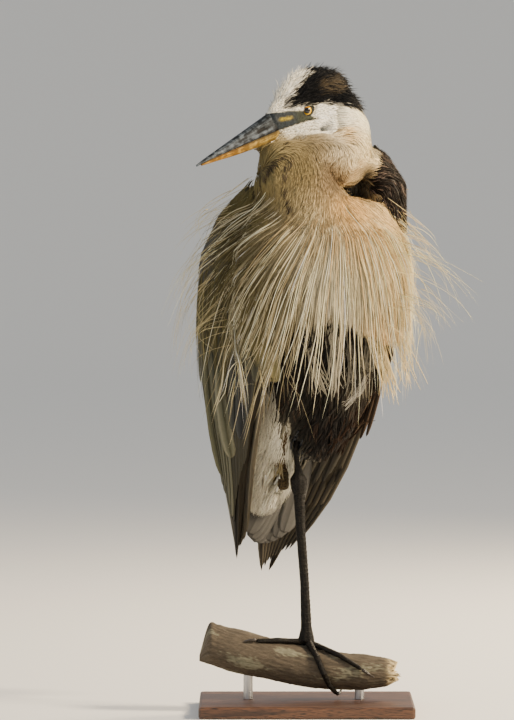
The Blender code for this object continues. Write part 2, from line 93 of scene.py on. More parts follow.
def addNode(tree, kind, sockets=None, **settings):
    # a node with its properties, its constant sockets, and the sockets that other nodes feed
    node = tree.nodes.new(kind)
    for key, value in settings.items():
        setattr(node, key, value)
    for key, value in (sockets or {}).items():
        if isinstance(value, bpy.types.NodeSocket):
            tree.links.new(value, node.inputs[key])
        else:
            node.inputs[key].default_value = value
    return node


def newMaterial(name, **constants):
    # a Principled material: its tree and shader, with the constant sockets set on the shader itself
    made = bpy.data.materials.new(name)
    made.use_nodes = True
    shader = made.node_tree.nodes["Principled BSDF"]
    for key, value in constants.items():
        shader.inputs[key.replace("_", " ")].default_value = value
    return made, made.node_tree, shader


def rgba(code):
    return (*linear(code), 1.0)


def mixColour(tree, factor, a, b, blend="MIX"):
    # a colour mix, where a, b and factor are sockets or constants
    sockets = {0: factor, 6: a, 7: b}
    return addNode(tree, "ShaderNodeMix", sockets, data_type="RGBA", blend_type=blend).outputs[2]


def maths(tree, operation, *values):
    # one step of arithmetic on sockets and constants
    return addNode(tree, "ShaderNodeMath", dict(enumerate(values)), operation=operation).outputs[0]


def scaledBy(tree, colour, factor):
    return addNode(tree, "ShaderNodeVectorMath", {0: colour, "Scale": factor}, operation="SCALE").outputs[0]


def spanned(tree, value, low, high, floor=0.0, top=1.0):
    # a value's run from low to high, drawn out to floor and top
    sockets = {"Value": value, "From Min": low, "From Max": high, "To Min": floor, "To Max": top}
    return addNode(tree, "ShaderNodeMapRange", sockets).outputs[0]


def stretched(tree, place, scale):
    return addNode(tree, "ShaderNodeMapping", {"Vector": place, "Scale": scale}).outputs[0]


def clouds(tree, place, scale, detail, **more):
    # scale is how many patches lie in a metre, or in a mm where the place is a feather's or the bill's own
    sockets = {"Vector": place, "Scale": scale, "Detail": detail, **more}
    return addNode(tree, "ShaderNodeTexNoise", sockets).outputs["Fac"]


def tintOf(tree):
    # the colour painted on the points
    return addNode(tree, "ShaderNodeVertexColor", layer_name="tint").outputs["Color"]


def placeOf(tree):
    return addNode(tree, "ShaderNodeTexCoord").outputs["Object"]


def finishLook(tree, shader, colour, relief, strength, depth):
    # the material's colour, and a relief of this depth as bump
    tree.links.new(colour, shader.inputs["Base Color"])
    bump = addNode(tree, "ShaderNodeBump", {"Height": relief, "Strength": strength, "Distance": depth})
    tree.links.new(bump.outputs[0], shader.inputs["Normal"])


def noiseAt(points, scale):
    return np.array([noise.noise(Vector(p * scale)) for p in points])


def movePoints(mesh, points):
    mesh.vertices.foreach_set("co", points.astype(np.float32).ravel())
    mesh.update()


def newMesh(name, points, triangles):
    mesh = bpy.data.meshes.new(name)
    mesh.vertices.add(len(points))
    mesh.vertices.foreach_set("co", np.asarray(points, np.float32).ravel())
    mesh.loops.add(triangles.size)
    mesh.loops.foreach_set("vertex_index", triangles.astype(np.int32).ravel())
    mesh.polygons.add(len(triangles))
    mesh.polygons.foreach_set("loop_start", np.arange(0, triangles.size, 3, dtype=np.int32))
    mesh.update(calc_edges=True)
    mesh.shade_smooth()
    return mesh


def addPiece(name, mesh, material, replaced=(), tint=None, maps=None):
    # a finished piece: painted points, UV maps, its material, its CAD nodes and its body
    if tint is not None:
        layer = mesh.color_attributes.new("tint", "FLOAT_COLOR", "POINT")
        layer.data.foreach_set("color", np.hstack([tint, np.ones((len(tint), 1))]).astype(np.float32).ravel())
    corners = np.zeros(len(mesh.loops), np.int32)
    mesh.loops.foreach_get("vertex_index", corners)
    for title, flat in (maps or {}).items():
        layer = mesh.uv_layers.new(name=title)
        layer.uv.foreach_set("vector", flat[corners].astype(np.float32).ravel())
    mesh.materials.clear()
    mesh.materials.append(material)
    piece = bpy.data.objects.new(name, mesh)
    bpy.context.scene.collection.objects.link(piece)
    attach(piece, "root")
    if replaced:
        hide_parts(*replaced)
    return piece


# Places and directions, read from the frame

def pointsOf(name):
    return np.array([v.co for v in nodes[name].data.vertices])


def treeOf(name):
    # a search tree over a CAD node
    faces = [tuple(face.vertices) for face in nodes[name].data.polygons]
    return BVHTree.FromPolygons(pointsOf(name).tolist(), faces)


def middleOf(name):
    low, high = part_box(name)
    return np.array((low + high) / 2)


eyeMiddles = {side: middleOf(f"eye_{side}") for side in ("left", "right")}
headMiddle = (eyeMiddles["left"] + eyeMiddles["right"]) / 2
headLeft = unit(eyeMiddles["left"] - eyeMiddles["right"])
billPoints = pointsOf("bill_upper") - headMiddle
tipWay = billPoints[np.argmax(np.linalg.norm(billPoints, axis=1))]
tipWay = unit(tipWay - headLeft * dots(tipWay, headLeft))
headForward = tipWay * math.cos(billDroop) + np.cross(tipWay, headLeft) * math.sin(billDroop)
headUp = np.cross(headForward, headLeft)
bodyForward = np.array((math.sin(bodyTurn), -math.cos(bodyTurn), 0))
bodyLeft = np.array((math.cos(bodyTurn), math.sin(bodyTurn), 0))


def onHead(forward, left, up):
    # a place measured from midway between the eyes
    return headMiddle + headForward * forward + headLeft * left + headUp * up


def onBody(forward, left, height):
    return bodyForward * forward + bodyLeft * left + skyward * height


def headPlaces(points):
    away = points - headMiddle
    return away @ headForward, away @ headLeft, away @ headUp


# Surfaces that the coat is laid on

def readSurface(mesh):
    # the points, smooth normals and triangles of a mesh, and a search tree over them
    mesh.calc_loop_triangles()
    count = len(mesh.vertices)
    points, normals = np.zeros((2, count * 3), np.float32)
    mesh.vertices.foreach_get("co", points)
    mesh.vertex_normals.foreach_get("vector", normals)
    triangles = np.zeros(len(mesh.loop_triangles) * 3, np.int32)
    mesh.loop_triangles.foreach_get("vertices", triangles)
    points, normals = points.reshape(-1, 3).astype(float), normals.reshape(-1, 3).astype(float)
    triangles = triangles.reshape(-1, 3)
    return SimpleNamespace(
        points=points, normals=normals, triangles=triangles,
        facing=unit(normals[triangles].sum(axis=1)),
        tree=BVHTree.FromPolygons(points.tolist(), triangles.tolist()),
    )


def fusedMesh(name, members, grow, voxel, rounds, cuts=None):
    # one closed smooth surface round some CAD nodes, some of them cut off at a plane: a place and a way
    shape = bmesh.new()
    for member in members:
        part = bmesh.new()
        part.from_mesh(nodes[member].data)
        bmesh.ops.remove_doubles(part, verts=part.verts, dist=1e-6)
        if member in (cuts or {}):
            place, way = cuts[member]
            everything = part.verts[:] + part.edges[:] + part.faces[:]
            cut = bmesh.ops.bisect_plane(
                part, geom=everything, plane_co=Vector(place), plane_no=Vector(way), clear_outer=True)
            rim = [e for e in cut["geom_cut"] if isinstance(e, bmesh.types.BMEdge)]
            bmesh.ops.holes_fill(part, edges=rim)
        piece = bpy.data.meshes.new(member)
        part.to_mesh(piece)
        shape.from_mesh(piece)
        part.free()
        bpy.data.meshes.remove(piece)
    mesh = bpy.data.meshes.new(name)
    shape.to_mesh(mesh)
    shape.free()
    holder = bpy.data.objects.new(name, mesh)
    bpy.context.scene.collection.objects.link(holder)
    swell = holder.modifiers.new("swell", "DISPLACE")
    swell.mid_level, swell.strength = 0, grow
    remesh = holder.modifiers.new("voxels", "REMESH")
    remesh.mode, remesh.voxel_size = "VOXEL", voxel
    relax = holder.modifiers.new("relax", "SMOOTH")
    relax.factor, relax.iterations = 0.5, rounds
    made = bpy.data.meshes.new_from_object(holder.evaluated_get(bpy.context.evaluated_depsgraph_get()))
    bpy.data.objects.remove(holder)
    bpy.data.meshes.remove(mesh)
    return made


fleshNodes = ["trunk", "neck_lower", "neck_middle", "neck_upper", "head", "chin", "thigh_left"]
wingNodes = ["wing_left", "wing_right"]
form = readSurface(fusedMesh("form", fleshNodes + wingNodes + ["breast_plumes"], 0.5 * mm, 3 * mm, 4))
tuckedFrom = (skyward * 0.268, -skyward)  # above this height the drawn-up leg lies in the down
bare = readSurface(fusedMesh(
    "bare", fleshNodes + wingNodes + ["shin_right", "tarsus_right"], 0.5 * mm, 3 * mm, 4,
    {"tarsus_right": tuckedFrom},
))
wingTrees = [treeOf(name) for name in wingNodes]
print("surfaces read", len(form.points), len(bare.points))


def nearAny(trees, points, reach):
    def near(p):
        return any(tree.find_nearest(p, reach)[0] is not None for tree in trees)

    return np.array([near(Vector(p)) for p in points])


def scatter(surface, spacing, rng, keep):
    # roots spread over a surface: random ones, thinned to one in each small cell
    corners = surface.points[surface.triangles]
    first, second = corners[:, 1] - corners[:, 0], corners[:, 2] - corners[:, 0]
    area = np.linalg.norm(np.cross(first, second), axis=1) / 2
    count = int(area.sum() / spacing ** 2 * 3)
    picked = rng.choice(len(area), count, p=area / area.sum())
    a, b = rng.random((2, count, 1))
    a, b = np.where(a + b > 1, 1 - a, a), np.where(a + b > 1, 1 - b, b)
    roots = corners[picked, 0] + a * first[picked] + b * second[picked]
    smooth = surface.normals[surface.triangles[picked]]
    normals = unit(smooth[:, 0] * (1 - a - b) + smooth[:, 1] * a + smooth[:, 2] * b)
    kept = keep(roots, normals)
    roots, normals = roots[kept], normals[kept]
    _, first = np.unique(np.floor(roots / spacing).astype(int), axis=0, return_index=True)
    return roots[first], normals[first]


# The lie of the coat: lines that feathers run along, each felt most near itself

neckBase = onBody(0.052, -0.012, 0.600)
neckUpper = middleOf("neck_upper")
neckMiddle = middleOf("neck_middle")
neckBend = neckUpper * (1, 1, 0) + skyward * 0.640
tracts = [
    (onHead(0.050, 0, 0.006), onHead(-0.050, 0, 0.010)),
    (onHead(0.070, 0, -0.022), onHead(0.010, 0, -0.020)),
    (onHead(-0.050, 0, 0.004), neckUpper),
    (onHead(0.030, 0.014, -0.020), onHead(-0.030, 0.022, -0.030)),
    (onHead(0.030, -0.014, -0.020), onHead(-0.030, -0.022, -0.030)),
    (neckUpper, neckBend),
    (neckBend, neckMiddle),
    (neckMiddle, neckMiddle + (-0.024, -0.024, -0.004)),
    (onHead(0.020, 0, -0.026) + (-0.006, -0.012, -0.02), neckBase + skyward * 0.01),
    (neckBase, onBody(0.085, -0.008, 0.555)),
]
for fanTurn in np.radians((-95, -65, -35, 0, 35, 65, 95)):  # out from the base of the neck and down
    fanWay = bodyForward * math.cos(fanTurn) + bodyLeft * math.sin(fanTurn)
    tracts.append((neckBase + fanWay * 0.030, neckBase + fanWay * 0.085 - skyward * 0.060))
    tracts.append((onBody(0, 0, 0.54) + fanWay * 0.105, onBody(0, 0, 0.34) + fanWay * 0.115))
tracts += [
    (onBody(-0.02, 0, 0.62), onBody(-0.085, 0, 0.54)),
    (onBody(-0.085, 0, 0.54), onBody(-0.080, 0, 0.40)),
    (onBody(-0.080, 0, 0.40), onBody(-0.100, 0, 0.24)),
    (onBody(0.070, 0, 0.44), onBody(0.010, 0, 0.34)),
    (onBody(0.010, 0, 0.34), onBody(-0.075, -0.01, 0.24)),
    (neckBase + (0.055, 0.03, 0.020), neckBase + (0.085, 0.03, 0.030)),
    (neckBase + (0.093, 0.03, 0.010), neckBase + (0.098, 0.03, -0.030)),
    (onBody(0, 0.105, 0.57), onBody(-0.03, 0.095, 0.42)),
    (onBody(0, -0.105, 0.58), onBody(-0.03, -0.090, 0.40)),
]


laying = {"nearness": 6 * mm, "hold": 7 * mm, "sag": 0.45, "turn": 0.6, "edge": 0.1}


def lieOf(points):
    # the way feathers point at each place
    total = np.zeros_like(points)
    for start, end in tracts:
        line = np.asarray(end) - np.asarray(start)
        share = np.clip((points - start) @ line / dots(line, line), 0, 1)
        gap = points - start - share[:, None] * line
        total += unit(line) / (dots(gap, gap)[:, None] + laying["nearness"] ** 2) ** 2
    return unit(total)


def trace(surface, roots, normals, lengths, steps, lie=lieOf):
    # follows the lie over the surface in equal steps, and hangs free where the surface ends
    turn = laying["turn"]
    place, normal = roots.copy(), normals.copy()
    wanted = lie(place)
    heading = unit(wanted - normal * dots(wanted, normal)[:, None])
    track, facing = [place], [normal]
    free = np.zeros(len(roots), bool)
    for _ in range(steps):
        wanted = lie(place)
        wanted = unit(wanted - normal * dots(wanted, normal)[:, None])
        heading = unit(heading * (1 - turn) + wanted * turn)
        ahead = place + heading * (lengths / steps)[:, None]
        found = [surface.tree.find_nearest(Vector(p), laying["hold"]) for p in ahead]
        held = np.array([f[0] is not None for f in found])
        landed = np.array([f[0] if f[0] is not None else p for f, p in zip(found, ahead)])
        turned = surface.facing[[f[2] if f[2] is not None else 0 for f in found]]
        pastEdge = dots(turned, normal) < laying["edge"]
        free |= ~held | pastEdge  # and from there on it hangs
        held = ~free
        place = np.where(held[:, None], landed, ahead)
        normal = np.where(held[:, None], unit(normal * 0.3 + turned * 0.7), normal)
        heading = np.where(held[:, None], heading, unit(heading - skyward * laying["sag"]))
        heading = unit(heading - normal * dots(heading, normal)[:, None] * held[:, None])
        track.append(place)
        facing.append(normal)
    return np.stack(track, axis=1), np.stack(facing, axis=1)


# Feather meshes: closed vanes, lofted root to tip, many in one mesh

tuftSection = ((-1, 0), (0, 1), (1, 0))
vaneSection = ((-1, 0), (-0.5, 0.7), (0, 1), (0.5, 0.7), (1, 0))
shaftSection = ((-1, 0), (-0.55, 0.45), (-0.07, 0.5), (0, 1.3), (0.07, 0.5), (0.55, 0.45), (1, 0))


def vaneMesh(spines, normals, widths, heights, section=tuftSection):
    # spines and normals: feather, row, xyz; the last row is the tip, and a single point
    section = np.array(section, float)
    count, rows = spines.shape[:2]
    around = len(section)
    ahead = unit(np.gradient(spines, axis=1))
    across = unit(np.cross(ahead, normals))
    out = np.cross(across, ahead)
    rings = (
        spines[:, :-1, None]
        + across[:, :-1, None] * (widths[:, :-1, None, None] * section[:, :1])
        + out[:, :-1, None] * (heights[:, :-1, None, None] * section[:, 1:])
    )
    points = np.concatenate([rings.reshape(count, -1, 3), spines[:, -1:]], axis=1)
    faces = [(0, k + 1, k) for k in range(1, around - 1)]
    last = (rows - 2) * around
    for k in range(around):
        after = (k + 1) % around
        for row in range(0, last, around):
            faces.append((row + k, row + after, row + after + around))
            faces.append((row + k, row + after + around, row + k + around))
        faces.append((last + k, last + after, last + around))
    size = points.shape[1]
    triangles = (np.arange(count)[:, None, None] * size + np.array(faces)[None]).reshape(-1, 3)
    share = np.append(np.repeat(np.linspace(0, 1, rows)[:-1], around), 1.0)
    side = np.append(np.tile(section[:, 0], rows - 1), 0.0)
    return points, triangles, share, side


def unwrapped(points, middle, axis, reach):
    # a cylinder's unwrap of the body's own shape, about that axis: turn and run, each from 0 to 1
    axis = unit(axis)
    side = unit(np.cross(axis, (0.31, 0.95, 0.05)))
    away = points - middle
    turn = np.arctan2(away @ np.cross(axis, side), away @ side) / (2 * math.pi) + 0.5
    return np.stack([0.01 + 0.975 * turn, 0.01 + 0.975 * np.clip(away @ axis / reach + 0.5, 0, 1)], axis=1)


bakePatch = 0.003  # of the map: one feather's own patch, at its root's place


def coatPiece(
    name, spines, normals, widths, heights, root, tip, edge, look, section=tuftSection, replaced=(),
    axis=skyward, rimShare=1.0,
):
    # many feathers as one piece: root, tip and edge are the colours of each feather
    points, triangles, share, side = vaneMesh(spines, normals, widths, heights, section)
    tone = root[:, None] + (tip - root)[:, None] * (share ** 1.3)[None, :, None]
    rim = (np.abs(side) ** 2)[None, :, None] * rimShare
    tone = tone + (edge[:, None] - tone) * rim
    middle = spines[:, 0].mean(axis=0)
    reach = 2.2 * np.abs((spines[:, 0] - middle) @ unit(axis)).max() + 1e-4
    home = unwrapped(spines[:, 0], middle, axis, reach)
    patch = np.stack([(side + 1) / 2, share], axis=1) * bakePatch
    lengths = np.linalg.norm(np.diff(spines, axis=1), axis=2).sum(axis=1)
    vane = np.stack([widths.max(axis=1)[:, None] * side / mm, lengths[:, None] * share / mm], axis=2)
    mesh = newMesh(name, points.reshape(-1, 3), triangles)
    maps = {"OFBake": (home[:, None] + patch[None]).reshape(-1, 2), "vane": vane.reshape(-1, 2)}
    return addPiece(name, mesh, look, replaced, np.clip(tone, 0, 1).reshape(-1, 3), maps)


def profile(rows, low, peak, tail):
    # half widths along a feather: narrow root, widest at peak, then drawn in to the tip
    t = np.linspace(0, 1, rows)
    grown = low + (1 - low) * np.sin(t / peak * math.pi / 2)
    drawnIn = 1 - (1 - tail) * np.clip((t - peak) / (1 - peak), 0, 1) ** 1.6
    return np.where(t < peak, grown, drawnIn)


# shares that hold where a coat's own dictionary, with its lengths in mm, says nothing else
coatDefaults = {
    "spread": 0.2, "loose": 0.12, "ragged": 0, "narrow": 0.5, "peak": 0.45, "tail": 0.35, "crown": 0.35,
    "rim": 0.6, "section": tuftSection,
}


def layCoat(
    name, spec, keep, paint, slot, surface=None, replaced=(), axis=skyward, lengthOf=None, lie=lieOf,
    shapeUp=None,
):
    # sows, lays and builds one field of the coat
    spec = {**coatDefaults, **spec}
    rng = np.random.default_rng(spec["seed"])
    surface = surface or form
    length, depth, proud = spec["length"] * mm, spec["depth"] * mm, spec["proud"] * mm
    roots, normals = scatter(surface, spec["spacing"] * mm, rng, keep)
    count, rows = len(roots), spec["rows"]
    vary, loose = spec["spread"], spec["loose"]
    lengths = length * rng.uniform(1 - vary, 1 + vary, count)
    if lengthOf is not None:
        lengths = lengths * lengthOf(roots)
    track, facing = trace(surface, roots, normals, lengths, rows - 1, lie)
    t = np.linspace(0, 1, rows)
    bend = np.cross(unit(np.gradient(track, axis=1)), facing)
    drift = rng.normal(0, loose, (count, 1, 1)) * lengths[:, None, None] * (t ** 1.5)[:, None]
    curl = rng.normal(0, loose * 0.5, (count, 1, 1)) * lengths[:, None, None] * np.sin(t * math.pi)[:, None]
    lift = -depth * (1 - t) ** 1.4 + proud * t ** 1.5
    stray = rng.uniform(0.4, 1.3, (count, 1))
    ragged = spec["ragged"] * lengths[:, None] * rng.random((count, 1)) ** 4 * t ** 2
    spines = track + bend * (drift + curl) + facing * (lift[None] * stray + ragged)[..., None]
    if shapeUp:
        spines = shapeUp(spines)
    shape = profile(rows, spec["narrow"], spec["peak"], spec["tail"])
    widths = spec["halfWidth"] * mm * rng.uniform(0.75, 1.25, (count, 1)) * shape
    if lengthOf is not None and shapeUp is None:
        widths = widths * np.sqrt(lengthOf(roots))[:, None]
    heights = widths * spec["crown"]
    root, tip, edge = paint(roots, rng)
    print("  ", name, count, "feathers")
    return coatPiece(
        name, spines, facing, widths, heights, root, tip, edge, softFeather, spec["section"], replaced,
        axis, spec["rim"],
    )


# Colours of the coat by place: each spot fades into the next

def blended(points, spots):
    # spots: place, reach and colour
    total, weight = np.zeros_like(points), np.zeros(len(points))
    for place, reach, code in spots:
        gap = points - place
        w = 1 / ((dots(gap, gap) / reach ** 2) ** 2 + 0.02)
        total += w[:, None] * linear(code)
        weight += w
    return total / weight[:, None]


def oneTone(code, count):
    return np.tile(linear(code), (count, 1))


def varied(colours, rng, amount):
    return np.clip(colours * rng.lognormal(0, amount, (len(colours), 1)), 0, 0.95)


def laidOver(tone, code, share):
    # a colour laid over others, as much as the share says at each point
    return tone + (linear(code) - tone) * np.asarray(share)[..., None]


headTones = {
    "white": "#f8f5ea", "black": "#0b0c0f", "hind": "#4d4436", "lore": "#262c30", "loreBack": "#2f3327",
    "loreYellow": "#a08a1c", "rim": "#060707", "gape": "#050505",
}
gapeLine = ((-0.010, 0.004, 0.026, 0.046), (-0.0150, -0.0122, -0.0110, -0.0108))  # forward and up
browLine = (
    (-0.010, 0.000, 0.005, 0.012, 0.032, 0.046),
    (-0.0135, -0.0080, 0.0010, 0.0030, 0.0080, 0.0110),
)
crownLine = (
    (-0.080, -0.043, -0.010, 0.000, 0.028, 0.046),
    (-0.018, -0.006, 0.004, 0.006, 0.010, 0.0135),
)
headBands = {  # metres forward, aside or up from midway between the eyes, over which each mask fades
    "stripeAside": (0.0085, 0.0115), "stripeStart": (-0.014, -0.010), "nape": (-0.086, -0.076),
    "hindLow": (0.009, 0.016), "hindHigh": (0.024, 0.031), "hindFront": (-0.020, -0.006),
    "hindBack": (-0.060, -0.046), "loreBack": (-0.010, -0.007), "eyeRing": (0.0068, 0.0080),
    "eyeAside": (0.008, 0.012),
}


def loreEdges(f):
    # the gape below and the brow above the bare skin between eye and bill
    return np.interp(f, *gapeLine), np.interp(f, *browLine)


def crownMasks(points):
    # shares of black, brown and bare skin at places on the head
    f, l, u = headPlaces(points)
    side = np.abs(l)
    low = np.interp(f, *crownLine)
    above = ramp(u, low - 0.001, low + 0.0015)
    ahead = ramp(f, *headBands["stripeStart"])
    outer = ramp(side, *headBands["stripeAside"]) * ahead + (1 - ahead)
    black = above * outer * ramp(f, *headBands["nape"])
    hind = above * ramp(u, *headBands["hindLow"]) * (1 - ramp(u, *headBands["hindHigh"]))
    hind = hind * (1 - ramp(f, *headBands["hindFront"])) * ramp(f, *headBands["hindBack"])
    low, top = loreEdges(f)
    bareSkin = ramp(f, *headBands["loreBack"]) * ramp(u, low - 0.001, low + 0.0006)
    bareSkin = bareSkin * (1 - ramp(u, top, top + 0.0012))
    ring = (1 - ramp(np.hypot(f, u), *headBands["eyeRing"])) * ramp(side, *headBands["eyeAside"])
    return black, hind, np.maximum(bareSkin, ring)


# Besides the plumage's own colours, these spots hold painted light and shade: to the left, as the camera sees
# it, they are painted darker as if in shade, and to the right brighter cream as if lit.
coatSpots = [
    (onHead(-0.030, 0.02, -0.020), 0.020, "#f2ecd8"),
    (onHead(0.020, 0, -0.028), 0.014, "#ece6d2"),
    (neckUpper + (0.020, -0.010, 0.030), 0.026, "#f6ecd0"),
    (neckUpper + (0.022, -0.016, 0.000), 0.020, "#f1deb4"),
    (neckUpper + (-0.004, -0.030, 0.004), 0.010, "#d3b88c"),
    (neckUpper + (-0.024, -0.026, -0.014), 0.014, "#7f6a51"),
    (neckUpper + (0.010, 0.034, 0.000), 0.030, "#8d8675"),
    (onHead(0.020, 0.012, -0.044), 0.013, "#786a53"),
    (onHead(0.030, 0.030, -0.040), 0.012, "#7d6f57"),
    (onHead(0.045, 0.000, -0.050), 0.016, "#8d7f58"),
]
# the olive spots to the left of the neck's base are partly painted shade, and the cream ones to the right
# partly painted light
neckSpots = [  # away from the base of the neck
    ((-0.020, -0.016, 0.040), 0.018, "#7a6c4b"),
    ((0.012, -0.010, 0.026), 0.016, "#8f7b5e"),
    ((0.022, 0.000, 0.030), 0.012, "#6f5d47"),
    ((-0.040, 0, 0.016), 0.022, "#746a41"),
    ((0.036, -0.01, 0.000), 0.020, "#d9b37c"),
    # painted shadow in the fold between neck and shoulder
    ((0.052, 0.012, 0.016), 0.012, "#1d1712"),
    ((-0.085, 0, -0.040), 0.040, "#565031"),
    ((-0.070, 0, -0.080), 0.036, "#625b39"),
    ((0.085, 0.010, -0.030), 0.040, "#efd09a"),
    ((0.095, 0.010, -0.100), 0.050, "#e2c596"),
    ((0.050, -0.030, -0.070), 0.030, "#c3b899"),
    ((0.012, -0.035, -0.060), 0.026, "#cdc6ab"),
    ((-0.022, -0.030, -0.060), 0.026, "#665d40"),
    ((-0.050, -0.020, -0.110), 0.040, "#6c6343"),
    ((0.030, -0.040, -0.095), 0.022, "#c2bcab"),
    ((-0.009, -0.040, -0.068), 0.009, "#3f392d"),
    ((0.012, -0.040, -0.108), 0.011, "#3a352b"),
    ((0.000, -0.040, -0.120), 0.020, "#5a5344"),
    ((-0.010, -0.040, -0.160), 0.040, "#776e55"),
    ((0.040, -0.040, -0.160), 0.024, "#8d836a"),
    ((0.080, -0.020, -0.170), 0.040, "#c4a67a"),
]
coatSpots += [(neckBase + away, reach, code) for away, reach, code in neckSpots]


def crowned(tone, points, rng):
    # black crown with a brown patch behind, where feather by feather the two mix
    black, hind, _ = crownMasks(points)
    tone = laidOver(tone, headTones["black"], black)
    return laidOver(tone, headTones["hind"], hind * np.where(rng.random(len(points)) < 0.40, 0.1, 0.9))


# between neck and shoulder
neckNotch = {"x": 0.058, "z": 0.612, "width": 0.014, "height": 0.013, "dark": 0.9}


def paintNeck(points, rng):
    base = varied(crowned(blended(points, coatSpots), points, rng), rng, 0.07)
    x, y, z = points.T
    aside, above = (x - neckNotch["x"]) / neckNotch["width"], (z - neckNotch["z"]) / neckNotch["height"]
    notch = np.exp(-aside ** 2 - above ** 2) * ramp(y, -0.035, -0.012)
    base = base * (1 - neckNotch["dark"] * notch)[:, None]  # no light reaches in there
    return base * 0.92, np.clip(base * 1.05, 0, 0.95), np.clip(base * 1.08, 0, 0.95)


def paintHead(points, rng):
    low = ramp(points[:, 2], headMiddle[2] - 0.033, headMiddle[2] - 0.024)
    hind = ramp(points[:, 0], headMiddle[0] + 0.028, headMiddle[0] + 0.036)
    tone = laidOver(blended(points, coatSpots), headTones["white"], 0.72 * np.maximum(low, hind))
    root = varied(crowned(tone, points, rng), rng, 0.13)
    tip = np.clip(root * 1.12, 0, 0.95)
    return root * 0.9, tip, np.clip(tip * 1.05, 0, 0.95)


def featherLook(name, barbGap, gloss):
    # Feather keratin in loose barbs: matt and soft, with fine slanting lines and a faint sheen at the rim.
    # Barbs are about 0.4 mm apart; they are drawn coarser so that they show.
    look, tree, shader = newMaterial(name, Roughness=gloss, IOR=1.54, Specular_IOR_Level=0.12)
    vane = addNode(tree, "ShaderNodeUVMap", uv_map="vane").outputs["UV"]
    split = addNode(tree, "ShaderNodeSeparateXYZ", {"Vector": vane}).outputs
    slant = maths(tree, "MULTIPLY_ADD", maths(tree, "ABSOLUTE", split["X"]), -0.9, split["Y"])
    wave = maths(tree, "SINE", maths(tree, "MULTIPLY", slant, 2 * math.pi / barbGap))
    shade = maths(tree, "MULTIPLY_ADD", wave, 0.05, 0.95)
    worn = maths(tree, "MULTIPLY_ADD", clouds(tree, vane, 0.35, 3.0), 0.3, 0.85)  # in patches of 3 mm
    scaled = scaledBy(tree, tintOf(tree), maths(tree, "MULTIPLY", shade, worn))
    # light that passes from barb to barb comes out deeper in colour
    deep = addNode(tree, "ShaderNodeHueSaturation", {"Color": scaled, "Saturation": 1.06}).outputs[0]
    finishLook(tree, shader, deep, wave, 0.25, 0.15 * mm)
    return look


softFeather = featherLook("softContourFeather", 1.2, 0.78)
firmFeather = featherLook("firmFlightFeather", 1.6, 0.55)


# Skin: one closed surface under the whole coat, bare at the lores and round the eyes

skinPlan = {
    "coatDepth": 7 * mm, "neckDepth": 4 * mm, "faceDepth": 1.6 * mm, "sheathDepth": 2.0 * mm,
    "thinShare": 0.3,  # of the flesh's own thickness, at most
    "swell": 0.7 * mm, "voxel": 2.0 * mm, "rounds": 5,
    "wingFlesh": {"wing_left": 0.430, "wing_right": 0.410},  # below these heights a wing is feathers alone
    # body: the dark down under the coat, and painted shade where it shows between feathers
    "billRoot": 0.064, "faceReach": 0.075, "body": "#26241f", "underDown": "#a39e8c", "face": "#e9e3d0",
    "crown": "#1b1a1a",
}


def skinDepth(body, away, bareSkin):
    # how far the skin lies inside the coat's outer form: nothing where it is bare
    plan = skinPlan
    f, _, u = headPlaces(body.points)
    low = 1 - ramp(body.points[:, 2], 0.57, 0.62)
    depth = plan["neckDepth"] + (plan["coatDepth"] - plan["neckDepth"]) * low
    near = plan["faceDepth"] + (depth - plan["faceDepth"]) * ramp(away, 0.045, plan["faceReach"])
    onFace = away < plan["faceReach"]
    depth = np.where(onFace, near, depth)
    sheathed = ramp(f, 0.0438, 0.0485) * ramp(u, -0.0300, -0.0270)  # the horn lies over it there
    depth = np.where(onFace, depth * (1 - bareSkin) + plan["sheathDepth"] * sheathed, depth)
    thick = []
    for p, n in zip(body.points, body.normals):
        hit = body.tree.ray_cast(Vector(p - n * 1e-4), Vector(-n), 0.12)
        thick.append(hit[3] if hit[0] is not None else 0.12)
    return np.minimum(depth, plan["thinShare"] * np.array(thick))


def loreTone(body, f, u):
    # dark bare skin with a yellow patch, black round the eye and along the gape
    lore = linear(headTones["lore"]) + np.zeros_like(body.points)
    lore = laidOver(lore, headTones["loreBack"], 1 - ramp(f, 0.012, 0.026))
    wander = noiseAt(body.points, 420) * 1.2 * mm
    aside = (u + wander + 0.0006 - (f - 0.0295) * 0.12) / 0.0019
    lore = laidOver(lore, headTones["loreYellow"], np.exp(-((f - 0.0325) / 0.0075) ** 4 - aside ** 4))
    ring = (np.hypot(f - 0.0030, u - 0.0010) - 0.0052) / 0.0021
    lore = laidOver(lore, headTones["rim"], np.exp(-ring ** 2))
    return laidOver(lore, headTones["gape"], np.exp(-((u - loreEdges(f)[0] - 0.0002) / 0.0009) ** 2))


def skinTone(body, away, masks):
    black, hind, bareSkin = masks
    f, _, u = headPlaces(body.points)
    onFace = away < skinPlan["faceReach"]
    x, _, z = body.points.T
    # under the coat a halved copy of the coat's colours, near black low down: the down's own darker colour
    # and painted shade in the gaps between feathers
    tone = laidOver(blended(body.points, coatSpots) * 0.5, skinPlan["body"], 1 - ramp(z, 0.50, 0.58))
    underDown = (z < 0.40) & (x < -0.018 + 0.3 * (0.33 - z)) & (body.normals[:, 1] < 0.4)
    tone = np.where(underDown[:, None], linear(skinPlan["underDown"]), tone)
    tone = np.where((away < 0.060)[:, None], linear(skinPlan["face"]), tone)
    tone = laidOver(tone, skinPlan["crown"], np.maximum(black, hind) * onFace)
    return tone + (loreTone(body, f, u) - tone) * (bareSkin * onFace)[:, None]


def skinLook():
    # Bird skin: thin, finely creased and a little waxy where it is bare.
    look, tree, shader = newMaterial("birdSkin", Roughness=0.6, IOR=1.4, Specular_IOR_Level=0.25)
    place = placeOf(tree)
    # pores about 1 mm apart, and patches of 2 mm
    pores = addNode(tree, "ShaderNodeTexVoronoi", {"Vector": place, "Scale": 900.0}).outputs["Distance"]
    mottled = maths(tree, "MULTIPLY_ADD", clouds(tree, place, 450.0, 4.0), 2.6, -0.3)
    finishLook(tree, shader, scaledBy(tree, tintOf(tree), mottled), pores, 0.5, 0.2 * mm)
    return look


